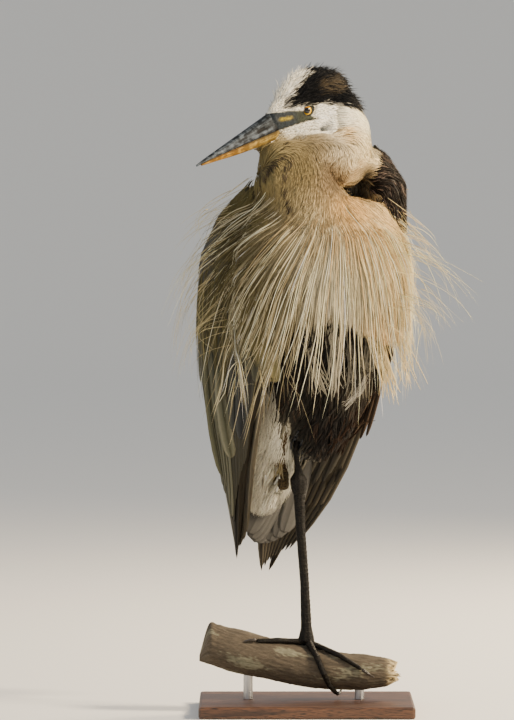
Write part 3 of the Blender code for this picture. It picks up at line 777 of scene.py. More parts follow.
def makeSkin():
    names = fleshNodes + wingNodes + ["bill_upper", "bill_lower", "shin_right"]
    cuts = {name: (skyward * height, -skyward) for name, height in skinPlan["wingFlesh"].items()}
    for half in ("bill_upper", "bill_lower"):
        cuts[half] = (onHead(skinPlan["billRoot"], 0, 0), headForward)
    mesh = fusedMesh("skin", names, skinPlan["swell"], skinPlan["voxel"], skinPlan["rounds"], cuts)
    body = readSurface(mesh)
    away = np.linalg.norm(body.points - headMiddle, axis=1)
    masks = crownMasks(body.points)
    points = body.points - body.normals * skinDepth(body, away, masks[2])[:, None]
    movePoints(mesh, points)
    middle = points.mean(axis=0)
    flat = unwrapped(points, middle, skyward, 2.2 * np.abs(points[:, 2] - middle[2]).max())
    tone = skinTone(body, away, masks)
    addPiece("skin", mesh, skinLook(), fleshNodes, tone, {"OFBake": flat})
    print("skin", len(points), "points")


makeSkin()


# Head and neck

faceCoat = {
    "seed": 11, "spacing": 1.35, "length": 6.0, "halfWidth": 0.52, "rows": 3, "depth": 1.2,
    "proud": 0.2, "loose": 0.08, "ragged": 0.06,
}
cheekCoat = {
    "seed": 16, "spacing": 1.3, "length": 8.5, "halfWidth": 0.60, "rows": 3, "depth": 1.0,
    "proud": 1.5, "loose": 0.10,
}
crownCoat = {
    "seed": 13, "spacing": 2.0, "length": 15, "halfWidth": 0.55, "rows": 5, "depth": 1.0,
    "proud": 3.0, "loose": 0.17, "ragged": 0.55, "tail": 0.12,
}
neckCoat = {
    "seed": 12, "spacing": 2.2, "length": 22, "halfWidth": 0.72, "rows": 4, "depth": 1.9,
    "proud": 0.2, "loose": 0.045, "ragged": 0.03, "crown": 0.28,
}
streakCoat = {
    "seed": 14, "spacing": 2.1, "length": 9, "halfWidth": 0.42, "rows": 5, "depth": 0.3,
    "proud": 0.6, "loose": 0.10, "crown": 0.25, "tail": 0.15,
}
humpCoat = {
    "seed": 15, "spacing": 2.7, "length": 24, "halfWidth": 0.9, "rows": 5, "depth": 2.5,
    "proud": 1.0, "loose": 0.12, "ragged": 0.10, "tail": 0.15, "rim": 0.5,
}


# metres from midway between the eyes
faceEdges = {"back": -0.050, "front": 0.072, "under": -0.036, "aside": 0.026, "reach": 0.066, "gape": -0.0165}


def headReach(points):
    return np.linalg.norm(points - onHead(-0.012, 0, 0), axis=1)


def onFaceField(points, normals):
    f, l, u = headPlaces(points)
    _, _, bareSkin = crownMasks(points)
    near = (headReach(points) < faceEdges["reach"]) & (np.abs(l) < faceEdges["aside"])
    near &= (f > faceEdges["back"]) & (f < faceEdges["front"]) & (u > faceEdges["under"])
    billSide = (f > 0.0435) & (u > faceEdges["gape"])
    return near & (bareSkin < 0.35) & ~billSide


def onPartings(points, normals):
    # where the face's feathers run apart, a few more lie across
    near = np.zeros(len(points), bool)
    for side in (-1, 1):
        for f, l, u, reach in ((-0.014, 0.015, -0.023, 0.012), (0.036, 0.005, -0.022, 0.008)):
            near |= np.linalg.norm(points - onHead(f, l * side, u), axis=1) < reach
    return near & onFaceField(points, normals)


def backAndDown(points):
    return np.zeros_like(points) + unit(-headForward - headUp * 0.35)


def onHump(points, normals):
    # the shoulder that rises behind the neck, on the bird's left
    x, z = points[:, 0], points[:, 2]
    near = nearAny(wingTrees[:1], points, 2.5 * mm)
    return near & (x > 0.060) & (z > 0.606 - 0.9 * (x - 0.078))


def onNeckField(points, normals):
    f, l, u = headPlaces(points)
    _, _, bareSkin = crownMasks(points)
    neck = (points[:, 2] > 0.575) & (np.linalg.norm(points - neckMiddle, axis=1) < 0.115)
    back = dots(points - middleOf("neck_lower"), bodyForward) < -0.060
    bill = (f > 0.043) & (u > faceEdges["gape"]) & (np.abs(l) < 0.020)
    lore = (headReach(points) < 0.07) & (bareSkin > 0.2)
    return neck & ~onFaceField(points, normals) & ~lore & ~back & ~bill & ~onHump(points, normals)


def faceLength(points):
    # short at the bill, long on the hind crown
    f, l, u = headPlaces(points)
    return 0.7 + 1.5 * ramp(-f, -0.03, 0.05) * ramp(u, 0.0, 0.03) + 0.5 * ramp(-f, -0.02, 0.05)


def onCrown(points, normals):
    f, l, u = headPlaces(points)
    black, hind, _ = crownMasks(points)
    white = (u > 0.020) & (f < 0.036)
    return ((black > 0.5) | (hind > 0.3) | white) & (f > -0.082) & (headReach(points) < 0.090)


streakLines = (  # from the base of the neck: aside and up, down the left of the foreneck as the front is seen
    ((-0.037, 0.060), (-0.050, 0.040), (-0.062, 0.023), (-0.072, 0.002)),
    ((-0.030, 0.044), (-0.037, 0.034), (-0.037, 0.017), (-0.033, 0.000), (-0.028, -0.014)),
)


def onStreaks(points, normals):
    flat = (points - neckBase)[:, [0, 2]]
    near = np.full(len(points), 1.0)
    for line in streakLines:
        for start, end in zip(line[:-1], line[1:]):
            way = np.array(end) - start
            share = np.clip((flat - start) @ way / dots(way, way), 0, 1)
            near = np.minimum(near, np.linalg.norm(flat - start - share[:, None] * way, axis=1))
    broken = noiseAt(points, (260, 260, 150)) > -0.05
    return (near < 3.0 * mm) & broken & (normals[:, 1] < -0.1)


def paintStreaks(points, rng):
    dark = varied(oneTone("#332c22", len(points)), rng, 0.4)
    return dark * 1.6, dark, dark * 1.8


def paintHump(points, rng):
    base = varied(oneTone("#211c18", len(points)), rng, 0.35)
    buff = (rng.random(len(points)) < 0.14)[:, None]
    base = np.where(buff, linear("#75655a") * rng.uniform(0.5, 1.2, (len(points), 1)), base)
    return base * 0.6, base, base * 1.9


headField = {"slot": "face", "axis": headForward}
layCoat("coat_face", faceCoat, onFaceField, paintHead, lengthOf=faceLength, **headField)
layCoat("coat_cheeks", cheekCoat, onPartings, paintHead, lie=backAndDown, **headField)
layCoat("coat_crown", crownCoat, onCrown, paintHead, **headField)
layCoat("coat_neck", neckCoat, onNeckField, paintNeck, "neck")
layCoat("neck_streaks", streakCoat, onStreaks, paintStreaks, "neck")
layCoat("coat_hump", humpCoat, onHump, paintHump, "slate_feathers")
print("head and neck coated")


# Breast: three layers of ever longer and finer plumes that fan from the base of the neck into hanging locks

breastUnder = {
    "seed": 21, "spacing": 4.4, "length": 44, "halfWidth": 2.4, "rows": 6, "depth": 4,
    "proud": -1.2, "loose": 0.04, "crown": 0.12, "section": vaneSection, "rim": 0.4, "tail": 0.15,
    "above": 0.000, "low": 1.0,
}
breastMiddle = {
    "seed": 22, "spacing": 2.7, "length": 62, "halfWidth": 0.62, "rows": 6, "depth": 2,
    "proud": 0.3, "loose": 0.035, "crown": 0.30, "narrow": 0.7, "peak": 0.3, "tail": 0.10,
    "rim": 0.1, "above": -0.002, "spread": 0.5, "low": 0.22,
}
breastPlumes = {
    "seed": 23, "spacing": 7.6, "length": 125, "halfWidth": 0.50, "rows": 12, "depth": 1.5,
    "proud": 3.4, "loose": 0.045, "crown": 0.8, "narrow": 0.8, "peak": 0.3, "tail": 0.2, "rim": 0.1,
    "above": -0.004, "spread": 0.55, "low": 0.22,
}
breastWisps = {
    "seed": 24, "spacing": 7.0, "length": 62, "halfWidth": 0.42, "rows": 9, "depth": 1.0,
    "proud": 11, "loose": 0.10, "crown": 0.8, "narrow": 0.8, "peak": 0.3, "tail": 0.25, "rim": 0.1,
    "spread": 0.4, "ragged": 0.12,
}
breastTurns = (-1.40, -1.15, -0.95, -0.60, -0.20, 0.10, 0.50, 0.80, 1.10, 1.45)  # radians from straight ahead
# the heights where the soft coat and the long plumes end there
coatHems = (0.535, 0.490, 0.455, 0.446, 0.462, 0.452, 0.432, 0.434, 0.470, 0.510)
plumeHems = (0.450, 0.410, 0.385, 0.372, 0.360, 0.362, 0.380, 0.385, 0.385, 0.410)
breastTree = treeOf("breast_plumes")


def aroundBreast(points):
    # the turn from straight ahead, positive to the bird's left, and the reach from the body's middle
    away = points - onBody(-0.010, 0, 0)
    side, ahead = away @ bodyLeft, away @ bodyForward
    return np.arctan2(side, ahead), np.hypot(side, ahead)


def sidewaysAt(turn):
    return bodyLeft * np.cos(turn)[:, None] - bodyForward * np.sin(turn)[:, None]


def breastLie(points):
    # down, and swung outwards: most at the top, and more on the bird's right, where the air has lifted them
    turn, _ = aroundBreast(points)
    high = ramp(points[:, 2], 0.47, 0.605)
    lifted = np.where(turn < 0, 1.45, 0.95 + 0.5 * ramp(turn, 0.6, 1.1))
    swing = turn / 0.96 * (0.30 + 0.95 * high) * lifted + 0.02
    fan = unit(sidewaysAt(turn) * swing[:, None] - skyward)
    blend = ramp(points[:, 2], 0.590, 0.625)[:, None]
    return unit(fan * (1 - blend) + lieOf(points) * blend)


def onBreast(points, normals):
    turn, _ = aroundBreast(points)
    near = np.array([breastTree.find_nearest(Vector(p), 2.5 * mm)[0] is not None for p in points])
    collar = (np.linalg.norm(points - neckBase, axis=1) < 0.075) & (points[:, 1] < neckBase[1] + 0.03)
    outward = dots(normals, points - onBody(-0.02, 0, 0.5)) > 0
    hem = np.interp(turn, breastTurns, coatHems)
    kept = (near | collar) & outward & (points[:, 2] > hem + 0.006) & (points[:, 2] < 0.612)
    return kept & ~onHump(points, normals)


def thinning(low, seed):
    # keeps this share of the feathers just above the hem, and more of them higher up
    rng = np.random.default_rng(seed)

    def keep(points, normals):
        turn, _ = aroundBreast(points)
        rise = points[:, 2] - np.interp(turn, breastTurns, coatHems)
        share = (low + (1 - low) * ramp(rise, 0.0, 0.13)) * (1 - 0.65 * ramp(turn, 0.70, 1.05) * (low < 1))
        return onBreast(points, normals) & (rng.random(len(points)) < share)
    return keep


def hangingTo(hems, above):
    # feathers of a layer end at a hem, or this far above it
    def room(roots):
        turn, _ = aroundBreast(roots)
        gap = roots[:, 2] - np.interp(turn, breastTurns, hems) - above
        return np.clip(gap * 1.12, 0.010, None)
    return room


lockPlan = {
    "seed": 77, "first": -1.45, "gaps": (0.06, 0.26), "count": 20, "firm": (0.2, 1.0),  # turns in radians
    "reach": 0.145, "drawnIn": 0.022,  # strands reach no farther, and high up less
}


def intoLocks(strength, hems, hang):
    # draws the lower ends together in locks, and lets them hang clear of the tapering belly
    rng = np.random.default_rng(lockPlan["seed"])
    gaps = rng.uniform(*lockPlan["gaps"], lockPlan["count"])
    centres = np.cumsum(np.concatenate([[lockPlan["first"]], gaps]))
    firm = rng.uniform(*lockPlan["firm"], len(centres))

    def gather(spines):
        flat = spines.reshape(-1, 3)
        turn, reach = aroundBreast(flat)
        tips, _ = aroundBreast(spines[:, -1])
        nearest = np.argmin(np.abs(tips[:, None] - centres), axis=1)
        own = np.repeat(centres[nearest], spines.shape[1])
        hem = np.interp(turn, breastTurns, hems)
        pull = strength * (1 - ramp(flat[:, 2], hem - 0.02, hem + 0.085)) * ramp(turn, -1.35, -1.10)
        pull = pull * np.repeat(firm[nearest], spines.shape[1])
        aside = (own - turn) * reach * pull
        aside = np.minimum(aside, 0.030 - 0.028 * ramp(-turn, 0.35, 0.65))  # never back against the swing
        moved = flat + sidewaysAt(turn) * aside[:, None]
        outward = bodyLeft * np.sin(turn)[:, None] + bodyForward * np.cos(turn)[:, None]
        run = reach.reshape(spines.shape[:2])
        clear = (np.maximum.accumulate(run, axis=1) - run) * hang
        high = ramp(flat[:, 2], 0.57, 0.60).reshape(run.shape)
        far = np.clip(run + clear - lockPlan["reach"] + lockPlan["drawnIn"] * high, 0, None)
        clear -= (0.6 + 0.4 * high) * far  # a strand that the air has lifted droops again
        moved = (moved + outward * clear.reshape(-1, 1)).reshape(spines.shape)
        across = moved @ bodyLeft  # on either side they never lean back towards the middle
        least, most = np.minimum.accumulate(across, axis=1), np.maximum.accumulate(across, axis=1)
        held = np.where(tips[:, None] < 0, least, most)
        share = 0.95 * hang * ramp(np.abs(tips), 0.30, 0.55)[:, None]
        return moved + bodyLeft * ((held - across) * share)[..., None]
    return gather


def painter(spread, *shares):
    # the coat's colours by place, and the shares of them at root, tip and edge
    def paint(points, rng):
        base = varied(blended(points, coatSpots), rng, spread)
        return [base * share for share in shares]
    return paint


def paintPlumes(points, rng):
    base = blended(points, coatSpots)
    each = (len(points), 1)
    bright = rng.random(each) < 0.36
    share = np.where(bright, rng.uniform(0.6, 1.0, each), rng.uniform(0.0, 0.25, each))
    base = varied(base + (linear("#fdf0cc") - base) * share, rng, 0.15)
    return base * 0.65, np.clip(base * 1.3, 0, 0.95), base


def atSides(points, normals):
    turn, _ = aroundBreast(points)
    return onBreast(points, normals) & ((turn > 0.78) | (turn < -0.95)) & (points[:, 2] < 0.585)


def layBreast(name, spec, paint, hems, lock, hang, replaced=()):
    room = hangingTo(hems, spec["above"])
    layCoat(
        name, spec, thinning(spec["low"], spec["seed"]), paint, "plumes", replaced=replaced, lie=breastLie,
        lengthOf=lambda roots: np.minimum(1.0, room(roots) / (spec["length"] * mm)),
        shapeUp=intoLocks(lock, hems, hang),
    )


# the two under layers are painted darker than the long plumes: partly their own colour, partly painted shade
# beneath them
layBreast("coat_breast", breastUnder, painter(0.10, 0.45, 0.72, 0.78), coatHems, 0.15, 0.0, ["breast_plumes"])
layBreast("breast_plumes_short", breastMiddle, painter(0.22, 0.48, 0.74, 0.78), coatHems, 0.7, 0.35)
layBreast("breast_plumes_long", breastPlumes, paintPlumes, plumeHems, 0.8, 0.85)
layCoat("breast_wisps", breastWisps, atSides, paintPlumes, "plumes", lie=breastLie)
print("breast coated")


# Belly, flanks, thigh and back

bellyCoat = {
    "seed": 31, "spacing": 4.2, "length": 34, "halfWidth": 1.8, "rows": 5, "depth": 5, "proud": 1.5,
    "loose": 0.16, "ragged": 0.10, "tail": 0.2,
}
undertailCoat = {
    "seed": 33, "spacing": 2.3, "length": 42, "halfWidth": 0.62, "rows": 7, "depth": 1.5,
    "proud": 5.5, "loose": 0.11, "ragged": 0.06, "tail": 0.10, "narrow": 0.8, "peak": 0.25,
    "rim": 0.2,
}
backCoat = {
    "seed": 32, "spacing": 6.5, "length": 58, "halfWidth": 4.2, "rows": 7, "depth": 5, "proud": 0.8,
    "loose": 0.05, "crown": 0.12, "section": vaneSection, "rim": 0.7, "tail": 0.25,
}
mantlePlumes = {
    "seed": 34, "spacing": 9, "length": 120, "halfWidth": 1.3, "rows": 9, "depth": 2, "proud": 2.0,
    "loose": 0.06, "crown": 0.25, "tail": 0.10, "peak": 0.3, "spread": 0.35,
}


bodyEdges = {"turned": -0.25, "bellyTop": 0.53, "backTop": 0.60, "shoulderLow": 0.555, "shoulderTop": 0.668}


def onBelly(points, normals):
    front = dots(normals, bodyForward) > bodyEdges["turned"]
    clear = ~nearAny(wingTrees, points, 2.0 * mm)
    shin = (points[:, 2] < 0.365) & (np.abs(points[:, 0] + 0.010) < 0.013) & (normals[:, 1] < 0)
    return front & clear & (points[:, 2] < bodyEdges["bellyTop"]) & ~shin


def onBack(points, normals):
    ahead, z = dots(points, bodyForward), points[:, 2]
    back = (dots(normals, bodyForward) <= bodyEdges["turned"]) & ~nearAny(wingTrees, points, 2.0 * mm)
    back &= (z < bodyEdges["backTop"]) & (ahead < 0.0)
    shoulder = (z > bodyEdges["shoulderLow"]) & (z < bodyEdges["shoulderTop"]) & (ahead < 0.030)
    return back | (shoulder & ~onNeckField(points, normals) & (headReach(points) > 0.07))


bellySpots = [
    (onBody(0.075, 0.00, 0.44), 0.050, "#121110"),
    (onBody(0.060, 0.050, 0.40), 0.020, "#4b463c"),
    (onBody(0.045, 0.062, 0.37), 0.018, "#2c251f"),
    (onBody(0.050, -0.045, 0.40), 0.030, "#161412"),
    (onBody(0.035, 0.020, 0.34), 0.030, "#131110"),
    (onBody(0.020, 0.040, 0.33), 0.016, "#2a2019"),
    (onBody(-0.030, -0.040, 0.35), 0.020, "#8d876f"),
    (onBody(-0.055, -0.035, 0.30), 0.030, "#ddd8c4"),
    (onBody(-0.075, -0.025, 0.25), 0.026, "#ddd8c4"),
    (onBody(-0.020, 0.030, 0.28), 0.020, "#1c1510"),
]
backSpots = [
    (onBody(-0.06, 0.0, 0.60), 0.05, "#4f4c48"),
    (onBody(-0.02, 0.09, 0.64), 0.03, "#3a322b"),
    (onBody(-0.09, 0.0, 0.50), 0.06, "#5a5c5e"),
    (onBody(-0.09, 0.0, 0.36), 0.06, "#4c4e50"),
    (onBody(0.0, -0.09, 0.60), 0.03, "#45433a"),
]


def paintBelly(points, rng):
    base = varied(blended(points, bellySpots), rng, 0.30)
    rust = (rng.random(len(points)) < 0.14)[:, None]
    base = np.where(rust, base * 0.6 + linear("#43342a") * 0.4, base)
    return base * 0.7, np.clip(base * 1.1, 0, 0.9), base


def paintBack(points, rng):
    base = varied(blended(points, backSpots), rng, 0.15)
    return base * 0.7, base, np.clip(base * 1.7 + 0.01, 0, 0.9)


def onMantle(points, normals):
    middle = np.abs(dots(points, bodyLeft)) < 0.075
    return onBack(points, normals) & (points[:, 2] > 0.40) & (points[:, 2] < 0.60) & middle


def paintMantle(points, rng):
    tones = np.array([linear(code) for code in ("#6f7274", "#8a8c8a", "#9d9d94", "#5b5e62")])
    base = tones[rng.integers(0, 4, len(points))]
    base = varied(base, rng, 0.12)
    return base * 0.6, base, base * 1.1


# the drawn-up leg shows there
legOpening = {"x": -0.0295, "z": 0.277, "halfWidth": 0.0115, "halfHeight": 0.017}


def onUndertail(points, normals):
    x, _, z = points.T
    front = dots(normals, bodyForward) > -0.55
    clear = ~nearAny(wingTrees, points, 4.0 * mm)
    inside = (z > 0.232) & (z < 0.405)
    aside, above = np.abs(x - legOpening["x"]), np.abs(z - legOpening["z"])
    opening = (aside < legOpening["halfWidth"]) & (above < legOpening["halfHeight"])
    return front & clear & inside & ~opening & (x < -0.022 + 0.3 * (0.33 - z))


def downLength(points):
    # short above the opening
    over = (np.abs(points[:, 0] - legOpening["x"]) < 0.0125) & (points[:, 2] > 0.285)
    share = (points[:, 2] - 0.288) / (undertailCoat["length"] * mm)
    return np.where(over, np.clip(share, 0.2, 1), 1.0)


def paintUndertail(points, rng):
    base = varied(oneTone("#eeead9", len(points)), rng, 0.12)
    base = base * (0.30 + 0.70 * (1 - ramp(points[:, 2], 0.335, 0.400)))[:, None]
    return base * 0.6, base, base * 0.95


def shorterBelow(height, least):
    # feathers shorten over the last 150 mm above a height
    return lambda roots: np.clip((roots[:, 2] - height) / 0.150, least, 1.0)


underField = {"slot": "thigh", "surface": bare}
layCoat("coat_belly", bellyCoat, onBelly, paintBelly, **underField)
layCoat("undertail_down", undertailCoat, onUndertail, paintUndertail, lengthOf=downLength, **underField)
layCoat("coat_back", backCoat, onBack, paintBack, "slate_feathers", lengthOf=shorterBelow(0.250, 0.25))
layCoat(
    "mantle_plumes", mantlePlumes, onMantle, paintMantle, "slate_feathers", lengthOf=shorterBelow(0.330, 0.3)
)
print("body coated")


# Wings: the outer face of each is read from its CAD node as a grid, and feathers are laid over it in rows

def sliced(name, level):
    # where the edges of a CAD node cross a height
    mesh = nodes[name].data
    ends = np.zeros(len(mesh.edges) * 2, np.int32)
    mesh.edges.foreach_get("vertices", ends)
    co = pointsOf(name)
    low, high = co[ends[0::2]], co[ends[1::2]]
    cut = (low[:, 2] - level) * (high[:, 2] - level) < 0
    low, high = low[cut], high[cut]
    return low + (high - low) * ((level - low[:, 2]) / (high[:, 2] - low[:, 2]))[:, None]


facePlan = {"levels": 30, "columns": 13, "across": 0.94, "lean": 24}


def chordAt(ring, chord):
    # the way across a slice of the wing in which it reaches farthest
    best = None
    for degrees in range(-facePlan["lean"], facePlan["lean"] + 1, 3):
        a = math.radians(degrees)
        way = unit(chord * math.cos(a) + np.cross(skyward, chord) * math.sin(a))
        span = np.ptp(ring @ way) * math.cos(a * 0.5)
        if best is None or span > best[0]:
            best = (span, way)
    return best[1]


def faceRow(ring, chord, out, level, tree):
    # places across the outer face at one height
    run, lift = ring @ chord, ring @ out
    middle = chord * (run.max() + run.min()) / 2 + out * (lift.max() + lift.min()) / 2 + skyward * level
    half = (run.max() - run.min()) / 2
    row = []
    for u in np.linspace(-facePlan["across"], facePlan["across"], facePlan["columns"]):
        start = middle + chord * u * half + out * 0.08
        hit = tree.ray_cast(Vector(start), Vector(-out), 0.16)[0]
        row.append(np.array(hit) if hit is not None else middle + chord * u * half)
    return row


def wingFace(name, outWay):
    # a function that gives places and normals on the outer face: run down the wing, and place across it
    tree = wingTrees[wingNodes.index(name)]
    low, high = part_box(name)
    levels, columns = facePlan["levels"], facePlan["columns"]
    chord, out = bodyForward, outWay
    grid, outs = [], []
    for level in np.linspace(high.z - 6 * mm, low.z + 5 * mm, levels):
        ring = sliced(name, level)
        found = chordAt(ring, chord)
        chord = unit(chord * 0.5 + found * 0.5) if grid else found
        side = np.cross(chord, skyward)
        out = side * np.sign(dots(side, out))
        grid.append(faceRow(ring, chord, out, level, tree))
        outs.append(out)
    grid = np.array(grid)
    for _ in range(3):  # evens out the facets and the groove that the breast plumes leave
        grid[1:-1] = grid[:-2] * 0.25 + grid[1:-1] * 0.5 + grid[2:] * 0.25
        grid[:, 1:-1] = grid[:, :-2] * 0.2 + grid[:, 1:-1] * 0.6 + grid[:, 2:] * 0.2
    normals = unit(np.cross(np.gradient(grid, axis=1), np.gradient(grid, axis=0)))
    normals *= np.sign(dots(normals, np.array(outs)[:, None]))[..., None]

    def at(v, u):
        a = np.asarray(v) * (levels - 1)
        b = (np.asarray(u) / facePlan["across"] * 0.5 + 0.5) * (columns - 1)
        i, j = np.clip(a.astype(int), 0, levels - 2), np.clip(b.astype(int), 0, columns - 2)
        s, t = (a - i)[..., None], (b - j)[..., None]
        place, normal = (
            g[i, j] * (1 - s) * (1 - t) + g[i + 1, j] * s * (1 - t)
            + g[i, j + 1] * (1 - s) * t + g[i + 1, j + 1] * s * t
            for g in (grid, normals)
        )
        return place, unit(normal)

    return at, float(high.z - low.z)


# half widths of a vane along its run, from root to tip
flightShape = np.array((0.30, 0.62, 0.85, 0.97, 1.0, 0.96, 0.82, 0.52, 0.0))
flightRun = np.array((0.0, 0.10, 0.25, 0.45, 0.65, 0.80, 0.91, 0.975, 1.0))
primaryShape = np.array((0.45, 0.80, 0.96, 1.0, 0.92, 0.74, 0.50, 0.26, 0.0))  # long and drawn to a point
plumeShape = np.array((0.5, 0.8, 1.0, 0.95, 0.8, 0.6, 0.4, 0.2, 0.0))
covertShape = np.array((0.45, 0.85, 1.0, 0.98, 0.80, 0.45, 0.0))
covertRun = np.array((0.0, 0.20, 0.45, 0.68, 0.85, 0.96, 1.0))
vaneKinds = {
    "primary": (firmFeather, primaryShape, flightRun, shaftSection),
    "flight": (firmFeather, flightShape, flightRun, shaftSection),
    "covert": (softFeather, covertShape, covertRun, vaneSection),
    "plume": (softFeather, plumeShape, flightRun, tuftSection),
}


def vaneRow(start, end, half, lifts, roll, tones):
    # one feather of a wing: both ends as run down and place across, half width and lifts in mm, two colours
    return (*start, *end, half * mm, lifts[0] * mm, lifts[1] * mm, roll, *tones)


def wingFeathers(name, at, plan, rng, kind, replaced=(), cast=1.0):
    look, shape, run, section = vaneKinds[kind]
    table = np.array([row[:8] for row in plan], float)
    v0, u0, v1, u1, half, rise0, rise1, roll = (table[:, k:k + 1] for k in range(8))
    root = np.array([linear(row[8]) for row in plan]) * cast
    edge = np.array([linear(row[9]) for row in plan]) * cast
    bow = rng.normal(0, 0.02, v0.shape)
    v = v0 + (v1 - v0) * run
    u = u0 + (u1 - u0) * run ** 1.2 + bow * np.sin(run * math.pi)
    places, facing = at(v, u)
    spines = places + facing * (rise0 + (rise1 - rise0) * run)[..., None]
    across = unit(np.cross(unit(np.gradient(spines, axis=1)), facing))
    turned = unit(facing * np.cos(roll)[..., None] + across * np.sin(roll)[..., None])
    widths = half * shape * rng.uniform(0.92, 1.08, half.shape)
    heights = np.minimum(widths * 0.16, 0.9 * mm) + 0.12 * mm
    root = varied(root, rng, 0.10)
    return coatPiece(
        name, spines, turned, widths, heights, root * 0.85, root, edge, look, section,
        replaced, rimShare=0.75,
    )


wingPlan = {
    "right": {"seed": 41, "node": "wing_right", "out": -bodyLeft, "roll": 0.10, "cast": (1.0, 1.0, 1.0)},
    "left": {"seed": 42, "node": "wing_left", "out": bodyLeft, "roll": -0.10, "cast": (0.80, 0.92, 1.25)},
}
liningRows = ((0.40, 56), (0.32, 50), (0.25, 44), (0.18, 40))  # start down the wing, and length in mm
covertRows = (
    # start down the wing, length and half width in mm, how many, colour and edge
    (0.30, 92, 9.5, 11, "#4a4a40", "#85836c"),
    (0.21, 62, 8.5, 12, "#4b4a41", "#7d7b66"),
    (0.15, 46, 7.0, 13, "#48473f", "#77755f"),
    (0.10, 36, 6.0, 14, "#45443c", "#716e5b"),
    (0.06, 30, 5.2, 15, "#403e37", "#6a6756"),
    (0.025, 26, 4.8, 16, "#3c3a33", "#66614f"),
    (-0.005, 24, 4.6, 16, "#393730", "#625b49"),
)
scapularTones = ["#38372a", "#474533", "#57533b", "#2c2b24", "#857b56"]


def makeInnerWing(side, plan):
    # the undersides of the long flight feathers, as they show from between the wings
    rng = np.random.default_rng(plan["seed"] + 7)
    at, span = wingFace(plan["node"], -plan["out"])
    roll = -plan["roll"]
    flights = []
    for s in np.arange(11) / 10:
        end = (0.925 + 0.075 * s ** 0.7 + rng.normal(0, 0.004), 0.90 - 1.72 * s)
        lifts = (-4.0 + 2.6 * s, -2.5 + 2.0 * s)
        flights.append(vaneRow((0.40, 0.86 - 1.5 * s), end, 8.0, lifts, roll, ("#1d1b19", "#6a6354")))
    for s in np.arange(7) / 6:
        end = (0.80 + 0.04 * s, 0.55 - 1.4 * s)
        lifts = (-2.5 + 2.0 * s, -1.0 + 1.6 * s)
        flights.append(vaneRow((0.36, 0.75 - 1.5 * s), end, 10.5, lifts, roll, ("#2a2927", "#6b665a")))
    wingFeathers(f"wing_{side}_inner", at, flights, rng, "primary")
    lining = []
    for row, (down, length) in enumerate(liningRows):
        for k in range(13):
            u = -0.95 + 1.9 * (k + 0.5 * (row % 2)) / 12.5
            end = (down + length * mm / span, u * 0.92)
            lining.append(vaneRow((down, u), end, 7.5, (-3.0, 0.3 + 0.2 * row), roll, ("#37332e", "#5f574a")))
    wingFeathers(f"wing_{side}_lining", at, lining, rng, "covert")


def makeFlights(side, plan, at, rng):
    roll = plan["roll"]
    primaries, flights = [], []
    for s in np.arange(10) / 9:  # stacked at the front and inner side, out to the tip
        start, end = (0.42, 0.62 + 0.28 * s), (0.90 + 0.10 * (1 - s) ** 0.7, 0.10 + 0.35 * s)
        lifts = (-5 - 3.5 * s, -2.0 - 3.5 * s)
        primaries.append(vaneRow(start, end, 8.5, lifts, roll, ("#100e0c", "#3d382e")))
    for s in np.arange(9) / 8:  # secondaries
        start, end = (0.36, 0.70 - 0.85 * s), (0.74 + 0.16 * s, 0.58 - 0.62 * s)
        lifts = (-4.6 + 1.0 * s, -2.0 + 0.8 * s)
        flights.append(vaneRow(start, end, 10.5, lifts, roll, ("#262523", "#504f45")))
    for s in np.arange(6) / 5:  # tertials
        start, end = (0.30, -0.05 - 0.75 * s), (0.84 - 0.10 * s + 0.05 * rng.random(), -0.12 - 0.62 * s)
        lifts = (-3.2 + 1.2 * s, -0.8 + 0.8 * s)
        flights.append(vaneRow(start, end, 12.5, lifts, roll, ("#46463c", "#7b7965")))
    wingFeathers(f"wing_{side}_primaries", at, primaries, rng, "primary")
    wingFeathers(f"wing_{side}_flights", at, flights, rng, "flight", [plan["node"]], plan["cast"])


def makeWing(side, plan):
    rng = np.random.default_rng(plan["seed"])
    at, span = wingFace(plan["node"], plan["out"])
    roll = plan["roll"]
    makeFlights(side, plan, at, rng)
    coverts = []
    for row, (down, length, half, count, tone, pale) in enumerate(covertRows):
        for k in range(count):
            u = -0.98 + 1.96 * (k + 0.5 * (row % 2)) / (count - 0.5)
            v = down + rng.normal(0, 0.008)
            end = (v + length * rng.uniform(0.85, 1.15) * mm / span, u * 0.9)
            ownRoll = roll + rng.normal(0, 0.05)
            coverts.append(vaneRow((v, u), end, half, (-3.0, 0.2 + 0.12 * row), ownRoll, (tone, pale)))
    wingFeathers(f"wing_{side}_coverts", at, coverts, rng, "covert", cast=plan["cast"])
    plumes = []
    for _ in range(130):  # long scapular plumes hang over the wing from the shoulder
        u = rng.uniform(-1.0, 0.55)
        v = rng.uniform(-0.03, 0.20)
        end = (v + rng.uniform(90, 190) * mm / span, u * 0.85 - 0.15 + rng.normal(0, 0.08))
        half = rng.uniform(1.1, 2.4)
        lifts = (0.0, rng.uniform(1.2, 3.0))
        ownRoll = rng.normal(0, 0.3)
        plumes.append(vaneRow((v, u), end, half, lifts, ownRoll, (str(rng.choice(scapularTones)), "#6c6649")))
    wingFeathers(f"scapulars_{side}", at, plumes, rng, "plume", cast=plan["cast"])


for wingSide, ownPlan in wingPlan.items():
    makeWing(wingSide, ownPlan)
    makeInnerWing(wingSide, ownPlan)
print("wings feathered")


# Feathers laid one by one on the front: the wing's own long and broad ones, and pale wisps on the belly

